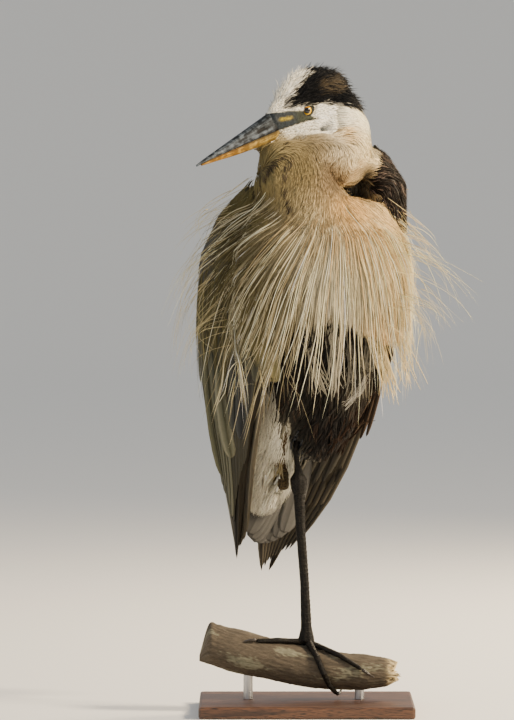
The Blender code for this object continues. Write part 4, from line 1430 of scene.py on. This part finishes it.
ownFeathers = [
    # aside and height at root, bend and tip, half width, how many, scatter, lift, colour and edge
    (-0.116, 0.427, -0.116, 0.347, -0.098, 0.273, 6.5, 1, 0, 1.0, "#4a4a3b", "#7a775f"),
    (-0.109, 0.420, -0.106, 0.360, -0.094, 0.310, 7.0, 1, 0, 2.0, "#42433a", "#6e6c58"),
    (-0.102, 0.405, -0.099, 0.347, -0.087, 0.296, 8.0, 1, 0, 3.2, "#565646", "#93907a"),
    (-0.072, 0.440, -0.074, 0.380, -0.076, 0.318, 9.0, 1, 0, 0.2, "#2a2c2e", "#4d4e4b"),
    (-0.080, 0.445, -0.084, 0.385, -0.084, 0.328, 8.0, 1, 0, 1.0, "#303231", "#55554c"),
    (-0.072, 0.492, -0.060, 0.440, -0.037, 0.386, 14.5, 1, 0, 8.5, "#6d6749", "#33362f"),
    (-0.086, 0.480, -0.080, 0.455, -0.069, 0.432, 5.5, 1, 0, 7.5, "#837e58", "#5d5b49"),
    (0.002, 0.446, 0.008, 0.408, 0.020, 0.376, 0.6, 20, 6, 3.5, "#7d7869", "#a39e8e"),
    (0.026, 0.462, 0.034, 0.415, 0.030, 0.372, 0.6, 26, 8, 3.5, "#938e7e", "#b5b0a0"),
    (0.050, 0.440, 0.058, 0.405, 0.046, 0.380, 0.5, 20, 8, 3.5, "#55524b", "#8d897d"),
    (0.076, 0.440, 0.074, 0.400, 0.058, 0.372, 0.6, 24, 8, 3.5, "#7b776a", "#aaa595"),
    (0.070, 0.394, 0.062, 0.372, 0.044, 0.357, 0.35, 16, 3.0, 4.0, "#8f8b80", "#c9c5b8"),
    (0.105, 0.446, 0.090, 0.386, 0.058, 0.322, 2.6, 9, 4, 1.0, "#211c18", "#5a4a3c"),
    (0.060, 0.350, 0.052, 0.328, 0.034, 0.306, 0.9, 24, 8, 2.5, "#241a14", "#3d2d21"),
    (0.060, 0.500, 0.086, 0.430, 0.100, 0.372, 0.55, 26, 9, 9.0, "#dcc79a", "#f3e3b8"),
    (0.080, 0.500, 0.112, 0.430, 0.122, 0.384, 0.5, 14, 8, 9.0, "#dcc79a", "#f3e3b8"),
    (-0.028, 0.322, -0.029, 0.304, -0.031, 0.286, 0.7, 34, 4.5, 2.0, "#2a1f17", "#6b5537"),
    (-0.029, 0.305, -0.031, 0.287, -0.033, 0.268, 0.4, 12, 5.0, 2.5, "#8d7d5a", "#c9bf9c"),
]


def overFront(flat, lift):
    # lays a flat line over the body's front, this far off it
    depth = []
    for x, z in flat:
        hit = bare.tree.ray_cast(Vector((x, -1, z)), Vector((0, 1, 0)))[0]
        depth.append(hit.y if hit is not None else (depth[-1] if depth else 0.0))
    depth = np.convolve(np.pad(depth, 2, "edge"), np.full(5, 0.2), "valid") - lift * mm
    return np.stack([flat[:, 0], depth, flat[:, 1]], axis=1)


def makeOwnFeathers():
    rng = np.random.default_rng(58)
    t = flightRun[:, None]
    spines, widths, tones, edges = [], [], [], []
    for *places, half, count, scattered, lift, tone, edge in ownFeathers:
        for _ in range(count):
            a, b, c = np.reshape(places, (3, 2)) + rng.normal(0, 1, (3, 2)) * scattered * mm
            spines.append(overFront(a * (1 - t) ** 2 + b * (2 * t * (1 - t)) + c * t ** 2, lift))
            widths.append(half * mm * (flightShape * rng.uniform(0.85, 1.15)))
            tones.append(linear(tone) * rng.uniform(0.8, 1.2))
            edges.append(linear(edge))
    spines, widths, tones, edges = (np.array(v) for v in (spines, widths, tones, edges))
    normals = np.broadcast_to(unit((-0.25, -1, 0.05)), spines.shape)
    heights = np.minimum(widths * 0.14, 1.1 * mm) + 0.1 * mm
    coatPiece(
        "feathers_by_hand", spines, normals, widths, heights, tones * 0.8, tones, edges, softFeather,
        shaftSection, rimShare=0.9,
    )


makeOwnFeathers()


# Tail: eight feathers that show, fanned a little, under the folded wings

tailPlan = {"count": 8, "halfWidth": 13.5 * mm, "rootSpread": 12 * mm, "tipSpread": 23 * mm, "seed": 51}


def makeTail(plan):
    rng = np.random.default_rng(plan["seed"])
    points = pointsOf("tail")
    low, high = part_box("tail")
    top = points[points[:, 2] > high.z - 12 * mm].mean(axis=0)
    bottom = points[points[:, 2] < low.z + 16 * mm].mean(axis=0)
    down = unit(bottom - top)
    facing = unit(bodyForward - down * dots(bodyForward, down))
    length = np.linalg.norm(bottom - top)
    rows = []
    for k in range(plan["count"]):
        s = k / (plan["count"] - 1) * 2 - 1
        root = top + bodyLeft * s * plan["rootSpread"] + facing * (abs(s) - 0.5) * 3 * mm
        tip = top + down * length * (1.08 - 0.14 * abs(s) ** 2) + bodyLeft * (s * plan["tipSpread"] - 3 * mm)
        tip = tip + facing * (abs(s) - 0.5) * 4 * mm
        rows.append(root + (tip - root) * flightRun[:, None])
    spines = np.array(rows)
    normals = np.broadcast_to(facing, spines.shape)
    widths = np.full((plan["count"], 1), plan["halfWidth"]) * flightShape
    tone = varied(oneTone("#4c4b48", plan["count"]), rng, 0.08)
    coatPiece(
        "tail_feathers", spines, normals, widths, widths * 0.05 + 0.3 * mm, tone, tone * 0.9, tone * 1.35,
        firmFeather, shaftSection, ["tail"],
    )


makeTail(tailPlan)


# Plumes blown clear of the body: a spray of strands along each lock of the frame

sprayPlan = {
    "seed": 61, "strands": 18, "rows": 12, "halfWidth": 0.48 * mm, "spread": 11 * mm, "sunk": 12 * mm,
    "shortest": 0.62, "fall": 0.5, "tone": "#dccb9c",
}


def lockShape(name, axis):
    # root, elbow and tip of a lock's CAD node
    points = pointsOf(name)
    tip = points[np.argmin(points[:, 2])]
    root = points[np.argmin(np.linalg.norm((points - axis) * (1, 1, 0), axis=1))]
    run = (points - root) @ unit(tip - root)
    middle = points[np.abs(run - run.max() / 2) < run.max() * 0.2].mean(axis=0)
    return root, middle * 2 - (root + tip) / 2, tip


def sprayStrands(name, axis, plan, rng):
    # the first strand keeps the lock's own length, and none of the others floats out level
    root, elbow, tip = lockShape(name, axis)
    t = np.linspace(0, 1, plan["rows"])[:, None]
    inward = unit(axis * (1, 1, 0) - root * (1, 1, 0)) * plan["sunk"]
    strands = []
    for k in range(plan["strands"]):
        stray = rng.normal(0, plan["spread"], (3, 3)) * ((1.5,), (0.8,), (0.9,))
        start = root + stray[0] + inward
        end = tip.copy()
        if k:
            end = root + (tip - root) * rng.uniform(plan["shortest"], 1.0) + stray[2]
            end[2] = min(end[2], start[2] - plan["fall"] * np.linalg.norm((end - start)[:2]))
        bend = elbow + stray[1] * 0.5
        bend[2] = min(bend[2], start[2] - 0.1 * (start[2] - end[2]))
        strands.append(start * (1 - t) ** 2 + bend * 2 * t * (1 - t) + end * t ** 2)
    return strands


def makeSprays(side, plan):
    rng = np.random.default_rng(plan["seed"] + len(side))
    names = sorted(n for n in nodes if n.startswith(f"plume_{side}"))
    axis = middleOf("trunk") * (1, 1, 0)
    spines = np.array([strand for name in names for strand in sprayStrands(name, axis, plan, rng)])
    middles = spines.mean(axis=1)
    out = unit(middles - axis - skyward * dots(middles, skyward)[:, None])
    normals = np.broadcast_to(out[:, None], spines.shape)
    shape = np.linspace(1.0, 0.15, plan["rows"])
    widths = plan["halfWidth"] * rng.uniform(0.6, 1.2, (len(spines), 1)) * shape
    tone = varied(oneTone(plan["tone"], len(spines)), rng, 0.2)
    coatPiece(
        f"plumes_{side}", spines, normals, widths, widths * 0.9, tone * 0.6, np.clip(tone * 1.2, 0, 0.95),
        tone, softFeather, tuftSection, names,
    )


for plumeSide in ("right", "left"):
    makeSprays(plumeSide, sprayPlan)
print("tail and plumes made")


# Bill: each half is lofted finely through the rings of its CAD node

def ringsAlong(name, middle, along, left, upward):
    # half width, top and bottom at each of a lofted node's own rings
    away = pointsOf(name) - middle
    local = np.stack([away @ along, away @ left, away @ upward], axis=1)
    local = local[np.argsort(local[:, 0])]
    rows = []
    for ring in np.split(local, np.flatnonzero(np.diff(local[:, 0]) > 1.5 * mm) + 1):
        rows.append((ring[:, 0].mean(), np.abs(ring[:, 1]).max(), ring[:, 2].max(), ring[:, 2].min()))
    return np.array(rows)


def smoothRows(rows, levels):
    # rows of measures at new levels, curved by Catmull and Rom's rule
    padded = np.vstack([2 * rows[0] - rows[1], rows, 2 * rows[-1] - rows[-2]])
    made = []
    for level in levels:
        k = int(np.clip(np.searchsorted(rows[:, 0], level) - 1, 0, len(rows) - 2))
        t = (level - rows[k, 0]) / (rows[k + 1, 0] - rows[k, 0])
        a, b, c, d = padded[k:k + 4]
        bent = (2 * a - 5 * b + 4 * c - d) * t ** 2 + (3 * b - a - 3 * c + d) * t ** 3
        made.append(0.5 * (2 * b + (c - a) * t + bent))
    return np.array(made)


def gridMesh(name, rings):
    # a closed body through rings of points (row, around, xyz), with a point at the middle of each end
    rows, around = rings.shape[:2]
    k = np.arange(around)
    after = (k + 1) % around
    faces = []
    for row in range(rows - 1):
        a, b = row * around + k, row * around + after
        faces += [np.stack([a, b, b + around], axis=1), np.stack([a, b + around, a + around], axis=1)]
    first, last = rows * around, rows * around + 1
    faces.append(np.stack([after, k, np.full(around, first)], axis=1))
    end = (rows - 1) * around
    faces.append(np.stack([end + k, end + after, np.full(around, last)], axis=1))
    points = np.vstack([rings.reshape(-1, 3), rings[0].mean(axis=0), rings[-1].mean(axis=0)])
    triangles = np.vstack(faces)
    a, b, c = (points[triangles[:, n]] for n in range(3))
    if np.sum(dots(np.cross(a, b), c)) < 0:
        triangles = triangles[:, ::-1]
    return newMesh(name, points, triangles)


def hornLook(name, pale, dark):
    # Keratin sheath, grown in thin layers: satin, with fine streaks and scuffs along its length.
    look, tree, shader = newMaterial(name, Roughness=0.6, IOR=1.55, Specular_IOR_Level=0.12)
    place = addNode(tree, "ShaderNodeUVMap", uv_map="vane").outputs["UV"]
    # streaks 18 mm long and about 1 mm wide, and patches of 8 mm
    grain = clouds(tree, stretched(tree, place, (0.75, 0.055, 1.0)), 1.0, 3.0, Roughness=0.6)
    both = maths(tree, "ADD", grain, clouds(tree, place, 0.12, 2.0))
    base = mixColour(tree, spanned(tree, both, 0.92, 1.30), rgba(dark), rgba(pale))
    finishLook(tree, shader, mixColour(tree, 1.0, base, tintOf(tree), "MULTIPLY"), grain, 0.4, 0.25 * mm)
    return look


billPlan = {
    "rows": 90, "around": 56, "tuck": 4 * mm, "nostril": 0.066, "nostrilLength": 0.014, "groove": 0.55 * mm,
    "drawnIn": 0.08, "warm": (1.0, 0.78, 0.50),
}


def upperShade(s, share, opening, groove):
    # painted shade in the nostril and the groove; darker along the ridge and towards the face
    slit = np.exp(-((s - 0.52) / 0.17) ** 4) * min(1.0, opening * 2.0)
    shade = (1 - 0.97 * slit[:, None]) * (1 - 0.45 * groove[:, None])
    shade = shade * (1 - 0.25 * ramp(s, 0.6, 1.0)[:, None])
    return shade * (0.45 + 0.55 * ramp(share, 0.0, 0.12))


def makeBillHalf(node, name, look, upper, plan):
    rows = ringsAlong(node, headMiddle, headForward, headLeft, headUp)
    start, end = rows[0, 0], rows[-1, 0]
    tuck = plan["tuck"]  # the sheath starts this far inside the face
    levels = start - tuck + (end - start + tuck) * np.linspace(0, 1, plan["rows"])
    extra = rows[0] + (rows[0] - rows[1]) * tuck / (rows[1, 0] - rows[0, 0])
    rows = np.vstack([extra, rows])
    a = np.linspace(0, 2 * math.pi, plan["around"], endpoint=False)
    c, s = np.cos(a), np.sin(a)
    rings, tones, flat = [], [], []
    for level, half, top, bottom in smoothRows(rows, levels):
        share = (level - start) / (end - start)
        drawn = 1 - plan["drawnIn"] * (1 - ramp(level, start - tuck, start + 5 * mm))
        half, top, bottom = half * drawn, top * drawn, bottom * drawn
        # the biting edges are square and the back of the bill is round
        wide = np.sign(c) * np.abs(c) ** 0.82 * half
        shade = np.ones((plan["around"], 3))
        if upper:
            high = np.where(s > 0, bottom + (top - bottom) * np.abs(s) ** 1.15, bottom + 0.0004 * s)
            groove = np.exp(-((np.abs(s) - 0.52) / 0.10) ** 2) * (s > 0) * ramp(share, -0.02, 0.03)
            groove = groove * (1 - ramp(share, 0.45, 0.75))
            opening = math.exp(-((level - plan["nostril"]) / (plan["nostrilLength"] / 2)) ** 2)
            wide = wide - np.sign(c) * (plan["groove"] * groove * (1 + 2.2 * opening))
            shade = shade * upperShade(s, share, opening, groove)
        else:
            high = np.where(s > 0, top + 0.0003 * s, top - (top - bottom) * np.abs(s))
            shade = shade * (1 + (np.array(plan["warm"]) - 1) * ramp(share, 0.15, 0.7))
        rings.append(headMiddle + headForward * level + wide[:, None] * headLeft + high[:, None] * headUp)
        shade = shade * (1 - np.exp(-(s / 0.16) ** 2)[:, None] * 0.8)  # dark along the biting edge
        tones.append(np.clip(shade, 0, 1))
        flat.append(np.stack([a * 7, np.full(len(a), level / mm)], axis=1))
    mesh = gridMesh(name, np.array(rings))
    tones = np.vstack([np.array(tones).reshape(-1, 3), np.ones((2, 3)) * 0.6])
    flat = np.array(flat).reshape(-1, 2)
    flat = np.vstack([flat, flat[:1], flat[-1:]])
    addPiece(name, mesh, look, [node], tones, {"vane": flat})


greyHorn = hornLook("billKeratinGrey", "#6d7780", "#1a1f24")
orangeHorn = hornLook("billKeratinOrange", "#b39a58", "#6f5828")
makeBillHalf("bill_upper", "bill_upper_horn", greyHorn, True, billPlan)
makeBillHalf("bill_lower", "bill_lower_horn", orangeHorn, False, billPlan)


# Eyes: a glossy ball with a yellow iris, in a ring of dark bare lid

eyePlan = {
    "iris": 49, "pupil": 27, "lid": 54, "brow": 9,  # degrees from the eye's axis
    "side": 0.88, "forward": 0.52, "down": -0.02,  # the way the eye looks
    "lidThick": 0.95 * mm, "around": 64, "lidAround": 12, "browTurn": 1.2,
    "yellow": "#deaf12", "black": "#050403", "back": "#120d08",
}


def eyeAxis(side):
    sign = 1 if side == "left" else -1
    aside = headLeft * sign * eyePlan["side"]
    return unit(aside + headForward * eyePlan["forward"] - headUp * eyePlan["down"])


def eyeTone(polar, turn):
    # black pupil, flecked yellow iris in a dark edge, darkened to amber under the brow as a painted shadow
    degrees = np.degrees(polar)
    rng = np.random.default_rng(5)
    fleck = rng.uniform(0.8, 1.15, (len(polar), len(turn), 1))
    inner = np.exp(-((degrees - eyePlan["pupil"] - 2) / 3.0) ** 2)[:, None, None]
    outer = ramp(degrees, eyePlan["iris"] - 7, eyePlan["iris"])[:, None, None]
    # painted shadow of the brow over the iris
    near = ramp(np.cos(turn - eyePlan["browTurn"]), 0.0, 0.9)[None, :, None]
    shaded = 1 - np.array((0.45, 0.62, 0.8)) * near
    iris = linear(eyePlan["yellow"]) * fleck * (1 - 0.4 * inner) * (1 - 0.9 * outer) * shaded
    tone = np.where(degrees[:, None, None] < eyePlan["pupil"], linear(eyePlan["black"]), iris)
    return np.vstack([tone.reshape(-1, 3), linear(eyePlan["black"])[None], linear(eyePlan["back"])[None]])


def lidMesh(name, middle, axis, ways, turn, radius):
    # a soft ring round the opening, lower in front and above
    section = np.linspace(0, 2 * math.pi, eyePlan["lidAround"], endpoint=False)
    lids = []
    for way, spot in zip(ways, turn):
        squeeze = 1 - 0.05 * abs(math.sin(spot)) ** 2  # a little flatter than round
        brow = max(0.0, math.cos(spot - eyePlan["browTurn"])) ** 1.5
        p = math.radians(eyePlan["lid"] * squeeze - eyePlan["brow"] * brow)
        for q in section:
            polar = p + math.cos(q) * 0.19 + 0.09
            away = radius + 0.35 * mm + math.sin(q) * eyePlan["lidThick"] * 0.6
            lids.append(middle + (axis * math.cos(polar) + way * math.sin(polar)) * away)
    points = np.array(lids)
    count, around = len(turn), len(section)
    k, j = np.meshgrid(np.arange(count), np.arange(around), indexing="ij")
    ahead, beside = (k + 1) % count, (j + 1) % around
    a, b, c, d = k * around + j, ahead * around + j, ahead * around + beside, k * around + beside
    first, second = np.stack([a, b, c], axis=-1), np.stack([a, c, d], axis=-1)
    triangles = np.concatenate([first.reshape(-1, 3), second.reshape(-1, 3)])
    p0, p1, p2 = (points[triangles[:, n]] - middle for n in range(3))
    if np.sum(dots(np.cross(p0, p1), p2)) < 0:
        triangles = triangles[:, ::-1]
    return newMesh(name, points, triangles)


def makeEye(side, ballLook, lidLook):
    middle, axis = eyeMiddles[side], eyeAxis(side)
    low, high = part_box(f"eye_{side}")
    radius = float(high.z - low.z) / 2
    up = unit(headUp - axis * dots(headUp, axis))
    right = np.cross(axis, up)
    turn = np.linspace(0, 2 * math.pi, eyePlan["around"], endpoint=False)
    ways = np.cos(turn)[:, None] * right + np.sin(turn)[:, None] * up
    polar = np.radians(np.concatenate([np.linspace(1.5, 60, 48), np.linspace(66, 176, 18)]))
    rings = []
    for p in polar:
        domed = radius * (1 + 0.05 * math.exp(-(p / 0.5) ** 2))
        rings.append(middle + (axis * math.cos(p) + ways * math.sin(p)) * domed)
    ball, lid = f"eye_{side}_ball", f"eye_{side}_lid"
    mesh = gridMesh(ball, np.array(rings))
    addPiece(ball, mesh, ballLook, [f"eye_{side}"], np.clip(eyeTone(polar, turn), 0, 1))
    addPiece(lid, lidMesh(lid, middle, axis, ways, turn, radius), lidLook)


def makeEyes():
    # Blown glass over a painted iris: a hard bright glint on clear colour.
    glaze = {"Coat_Weight": 0.3, "Coat_Roughness": 0.02}
    ball, tree, shader = newMaterial("glassEye", Roughness=0.05, IOR=1.45, **glaze)
    tree.links.new(tintOf(tree), shader.inputs["Base Color"])
    # Bare lid skin: thin and finely folded, with a dull sheen.
    lid, tree, shader = newMaterial("lidSkin", Roughness=0.5, IOR=1.4)
    folds = clouds(tree, placeOf(tree), 1500.0, 3.0)  # less than 1 mm apart
    finishLook(tree, shader, mixColour(tree, folds, rgba("#080808"), rgba("#1f211f")), folds, 0.6, 0.2 * mm)
    for side in ("left", "right"):
        makeEye(side, ball, lid)


makeEyes()
print("bill and eyes made")


# Legs and claws

legPlan = {
    "voxel": 0.8 * mm, "scute": 5.2 * mm, "scuteDepth": 0.60 * mm, "fine": 0.15 * mm, "ankle": 0.264,
    "band": 5 * mm,
}
toeNames = ("middle", "outer", "inner", "hind")


def legLook():
    # Bird's leg skin: hard small scales with paler rims, satin where they are worn.
    look, tree, shader = newMaterial("legScales", Roughness=0.55, IOR=1.5, Specular_IOR_Level=0.15)
    place = placeOf(tree)
    scales = {"Vector": place, "Scale": 380.0}  # 1.5 to 3 mm across
    cells = addNode(tree, "ShaderNodeTexVoronoi", scales, feature="DISTANCE_TO_EDGE").outputs[0]
    rim = spanned(tree, cells, 0.0, 0.12)
    spread = spanned(tree, clouds(tree, place, 90.0, 4.0), 0.42, 0.68)  # worn in patches of 11 mm
    worn = mixColour(tree, spread, rgba("#080706"), rgba("#211e19"))
    toned = mixColour(tree, rim, rgba("#353028"), worn)
    finishLook(tree, shader, mixColour(tree, 1.0, toned, tintOf(tree), "MULTIPLY"), rim, 0.6, 0.35 * mm)
    return look


def makeLeg(name, members, look, tone, ankle=None):
    # scutes down the front; the drawn-up leg is banded, the other has its ankle at this height
    mesh = fusedMesh(name, members, 0.25 * mm, legPlan["voxel"], 3)
    body = readSurface(mesh)
    front = ramp(dots(body.normals, bodyForward), 0.0, 0.6)
    phase = (body.points[:, 2] / legPlan["scute"]) % 1.0
    step = (phase ** 2.5 - 0.4) * front * legPlan["scuteDepth"]
    fine = noiseAt(body.points, 260) * legPlan["fine"]
    if ankle:  # it stands out from a slimmer shin above it
        rise = body.points[:, 2] - ankle
        swell = np.exp(-((rise + 0.002) / 0.009) ** 2)
        step = step - 3.2 * mm * ramp(rise, 0.006, 0.016) + 1.2 * mm * swell
    points = body.points + body.normals * (step - 0.1 * mm + fine)[:, None]
    movePoints(mesh, points)
    mesh.shade_smooth()
    share = 0.45
    if not ankle:
        across = (points[:, 2] / legPlan["band"] + fine / legPlan["fine"] * 0.5) % 1 - 0.5
        share = 0.35 + 0.65 * ramp(np.abs(across), 0.08, 0.25)
    addPiece(name, mesh, look, members, tone * np.reshape(share, (-1, 1)) + np.zeros_like(points))


def makeClaws():
    # Claw keratin: smooth and dark, paler where it thins at the tip.
    horn, tree, shader = newMaterial("clawHorn", Roughness=0.3, IOR=1.55)
    cloud = clouds(tree, placeOf(tree), 300.0, 3.0)  # in patches of 3 mm
    tree.links.new(mixColour(tree, cloud, rgba("#15120f"), rgba("#4a423a")), shader.inputs["Base Color"])
    for toe in toeNames:
        shape = bmesh.new()
        shape.from_mesh(nodes[f"claw_{toe}"].data)
        bmesh.ops.remove_doubles(shape, verts=shape.verts, dist=1e-6)
        bmesh.ops.subdivide_edges(shape, edges=shape.edges[:], cuts=2, use_grid_fill=True, smooth=0.6)
        bmesh.ops.triangulate(shape, faces=shape.faces[:])
        mesh = bpy.data.meshes.new(f"claw_{toe}_horn")
        shape.to_mesh(mesh)
        shape.free()
        mesh.shade_smooth()
        addPiece(f"claw_{toe}_horn", mesh, horn, [f"claw_{toe}"])


def makeLegs():
    look = legLook()
    foot = ["shin_left", "tarsus_left"] + [f"toe_{toe}" for toe in toeNames]
    makeLeg("leg_left", foot, look, linear("#ffffff"), legPlan["ankle"])
    makeLeg("leg_right", ["shin_right", "tarsus_right"], look, linear("#b7a47c") * 6.5)
    makeClaws()


makeLegs()


# Perch: the cut of branch, with furrowed bark and a pale broken end

perchPlan = {
    "rows": 250, "around": 120, "slices": 22, "furrow": 1.4 * mm, "torn": 16 * mm, "split": 11 * mm,
    "crack": "#15110d", "bark": "#5f5546", "lichen": "#8b8a72", "wood": "#cdb98c", "sawn": "#a8875a",
}
perchTree = treeOf("perch")


def barkLook():
    # Old bark: dry and dull, furrowed along the branch, dark in the cracks.
    look, tree, shader = newMaterial("weatheredBark", Roughness=0.92, IOR=1.45)
    # grain 6 mm along the branch and 1.5 mm round it
    grain = clouds(tree, stretched(tree, placeOf(tree), (160.0, 700.0, 700.0)), 1.0, 6.0, Roughness=0.7)
    scaled = scaledBy(tree, tintOf(tree), spanned(tree, grain, 0.3, 0.7, 0.6, 1.35))
    finishLook(tree, shader, scaled, grain, 0.7, 0.6 * mm)
    return look


def barkSpot(x, y, z, radius, ragged, turn):
    # a place on the bark, and how cracked, fine and lumpy it is there
    c, s = math.cos(turn), math.sin(turn)
    spot = Vector((x * 22, c * 1.7, s * 1.7))
    warp = noise.noise(spot * 1.5) * 0.8
    crack = -abs(noise.noise(Vector((x * 30 + 5, c * 6.5 + warp, s * 6.5 + warp)))) ** 0.6
    fine = noise.noise(Vector((x * 160, c * 16, s * 16)))
    lump = noise.noise(spot + Vector((7, 0, 0)))
    lift = perchPlan["furrow"] * (0.55 + 0.9 * crack) + 0.35 * mm * fine + 0.8 * mm * lump - 0.9 * mm
    split = noise.noise(Vector((3.0, c * 5.5, s * 5.5))) + 0.5 * noise.noise(Vector((8.0, c * 14, s * 14)))
    inner = (radius + lift) * (1 - 0.22 * ragged ** 4)
    along = x + ragged ** 3 * split * perchPlan["split"]
    return (along, y + c * inner, z + s * inner), (0.5 + crack * 0.5, fine, lump)


def barkTone(spots, torn, plan):
    depth = np.clip(spots[..., 0] + 0.35, 0, 1)
    tone = laidOver(linear(plan["crack"]) + np.zeros_like(spots), plan["bark"], depth)
    tone = laidOver(tone, plan["lichen"], ramp(spots[..., 2] + spots[..., 1] * 0.5, 0.25, 0.5) * 0.5)
    tone = laidOver(tone, plan["wood"], np.array(torn)[:, None] ** 2 * ramp(spots[..., 1] + 0.4, 0.1, 0.5))
    ends = np.array([linear(plan["sawn"]), linear(plan["wood"])])
    return np.clip(np.vstack([tone.reshape(-1, 3), ends]), 0, 1)


def makePerch(plan):
    low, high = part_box("perch")
    thick = []  # the axis and radius along the branch, where its CAD node is cut across
    for x in np.linspace(low.x + 2 * mm, high.x - 2 * mm, plan["slices"]):
        top = perchTree.ray_cast(Vector((x, 0, high.z + 0.1)), Vector((0, 0, -1)))[0]
        under = perchTree.ray_cast(Vector((x, 0, low.z - 0.1)), Vector((0, 0, 1)))[0]
        thick.append((x, 0.0, (top.z + under.z) / 2, (top.z - under.z) / 2))
    rows = np.array(thick)
    levels = np.linspace(rows[0, 0], rows[-1, 0], plan["rows"])
    turns = np.linspace(0, 2 * math.pi, plan["around"], endpoint=False)
    grid, spots, torn = [], [], []
    for x, y, z, radius in smoothRows(rows, levels):
        ragged = float(ramp(x, rows[-1, 0] - plan["torn"], rows[-1, 0]))
        places, marks = zip(*[barkSpot(x, y, z, radius, ragged, turn) for turn in turns])
        grid.append(places)
        spots.append(marks)
        torn.append(ragged)
    mesh = gridMesh("perch_bark", np.array(grid))
    addPiece("perch_bark", mesh, barkLook(), ["perch"], barkTone(np.array(spots), torn, plan))


makePerch(perchPlan)


# Stand: oiled hardwood and satin steel, on the CAD's own shapes

def makeStand():
    # Walnut, planed and oiled: open straight grain along the board, with a low sheen.
    oil = {"Coat_Weight": 0.1, "Coat_Roughness": 0.35}
    wood, tree, shader = newMaterial("oiledWalnut", Roughness=0.45, IOR=1.5, **oil)
    place = placeOf(tree)
    # growth rings 8 mm apart and 110 mm long, and pores under 1 mm wide and 11 mm long
    rings = clouds(tree, stretched(tree, place, (9.0, 120.0, 120.0)), 1.0, 5.0, Distortion=0.6)
    pores = clouds(tree, stretched(tree, place, (90.0, 1400.0, 1400.0)), 1.0, 2.0)
    base = mixColour(tree, spanned(tree, rings, 0.35, 0.65), rgba("#3a2418"), rgba("#6e4a31"))
    dark = spanned(tree, pores, 0.38, 0.5)
    finishLook(tree, shader, mixColour(tree, dark, rgba("#20130c"), base), dark, 0.25, 0.2 * mm)
    # Stainless steel, drawn and brushed: soft streaked reflections along the rod.
    steel, tree, shader = newMaterial("satinSteel", Roughness=0.32, Metallic=1.0)
    lines = clouds(tree, stretched(tree, placeOf(tree), (2600.0, 2600.0, 60.0)), 1.0, 2.0)  # 0.4 by 17 mm
    tree.links.new(mixColour(tree, lines, rgba("#a3a4a6"), rgba("#c9c9c8")), shader.inputs["Base Color"])
    tree.links.new(spanned(tree, lines, 0.0, 1.0, 0.24, 0.42), shader.inputs["Roughness"])
    for name, look in (("stand_base", wood), ("stand_rod_left", steel), ("stand_rod_right", steel)):
        for holder in nodes[name].material_slots:
            holder.material = look


makeStand()
print("legs, perch and stand made")


# Camera, floor and light

shot = {"aside": -0.072, "above": 0.0357, "distance": 6.0, "elevation": 2.0, "span": 0.839}


def makeCamera():
    middle = (cadBox[0] + cadBox[1]) / 2
    target = Vector((middle.x + shot["aside"], 0, middle.z + shot["above"]))
    tilt = math.radians(shot["elevation"])
    back = Vector((0, -math.cos(tilt), math.sin(tilt)))
    data = bpy.data.cameras.new("camera")
    camera = bpy.data.objects.new("camera", data)
    bpy.context.scene.collection.objects.link(camera)
    camera.location = target + back * shot["distance"]
    camera.rotation_euler = (-back).to_track_quat("-Z", "Y").to_euler()
    data.sensor_fit = "AUTO"  # the long side is the height, so its sensor size sets the span
    data.sensor_width = 36
    data.lens = 36 / 2 / (shot["span"] / 2 / shot["distance"])
    data.clip_end = 50
    bpy.context.scene.camera = camera


stagePlan = {"flat": 9.8, "far": 16.0, "high": 3.2, "sides": 96, "steps": 18, "paper": "#eceae5"}
lightPlan = (
    # name, place, size, power and colour
    ("keySoftbox", (2.5, -0.8, 1.8), 0.7, 215, "#ffe9c8"),
    ("rimSoftbox", (1.5, 1.7, 1.5), 0.7, 90, "#ffe6bf"),
    ("fillSoftbox", (-2.4, -2.4, 1.4), 1.8, 22, "#f2f4ff"),
)
studio = {"aim": (0, 0, 0.45), "sky": "#eef0f2", "strength": 0.66}


def makeStage(plan):
    # a pale floor that rises far off into a low round wall, wide enough for a camera on any side
    look, _, shader = newMaterial("paperSweep", Roughness=0.9)
    shader.inputs["Base Color"].default_value = rgba(plan["paper"])
    flat, sides, steps = plan["flat"], plan["sides"], plan["steps"]
    rings = [(flat * k / 3, 0.0) for k in range(1, 4)]
    for k in range(1, steps + 1):
        rings.append((flat + (plan["far"] - flat) * k / steps, plan["high"] * (k / steps) ** 2))
    points = [(0.0, 0.0, 0.0)]
    for radius, height in rings:
        for k in range(sides):
            a = 2 * math.pi * k / sides
            points.append((radius * math.cos(a), radius * math.sin(a), height))
    triangles = [(0, 1 + k, 1 + (k + 1) % sides) for k in range(sides)]
    for row in range(len(rings) - 1):
        for k in range(sides):
            p, q = 1 + row * sides + k, 1 + row * sides + (k + 1) % sides
            triangles += [(p, p + sides, q + sides), (p, q + sides, q)]
    sweep = bpy.data.objects.new("sweep", newMesh("sweep", np.array(points), np.array(triangles)))
    sweep.data.materials.append(look)
    bpy.context.scene.collection.objects.link(sweep)


def makeLight():
    for name, place, size, power, code in lightPlan:
        data = bpy.data.lights.new(name, "AREA")
        data.shape, data.size, data.energy = "DISK", size, power
        data.color = linear(code)
        lamp = bpy.data.objects.new(name, data)
        lamp.location = place
        lamp.rotation_euler = (Vector(studio["aim"]) - Vector(place)).to_track_quat("-Z", "Y").to_euler()
        bpy.context.scene.collection.objects.link(lamp)
    world = bpy.data.worlds.new("studio")
    world.use_nodes = True
    background = world.node_tree.nodes["Background"]
    background.inputs["Color"].default_value = rgba(studio["sky"])
    background.inputs["Strength"].default_value = studio["strength"]
    bpy.context.scene.world = world


makeCamera()
makeStage(stagePlan)
makeLight()
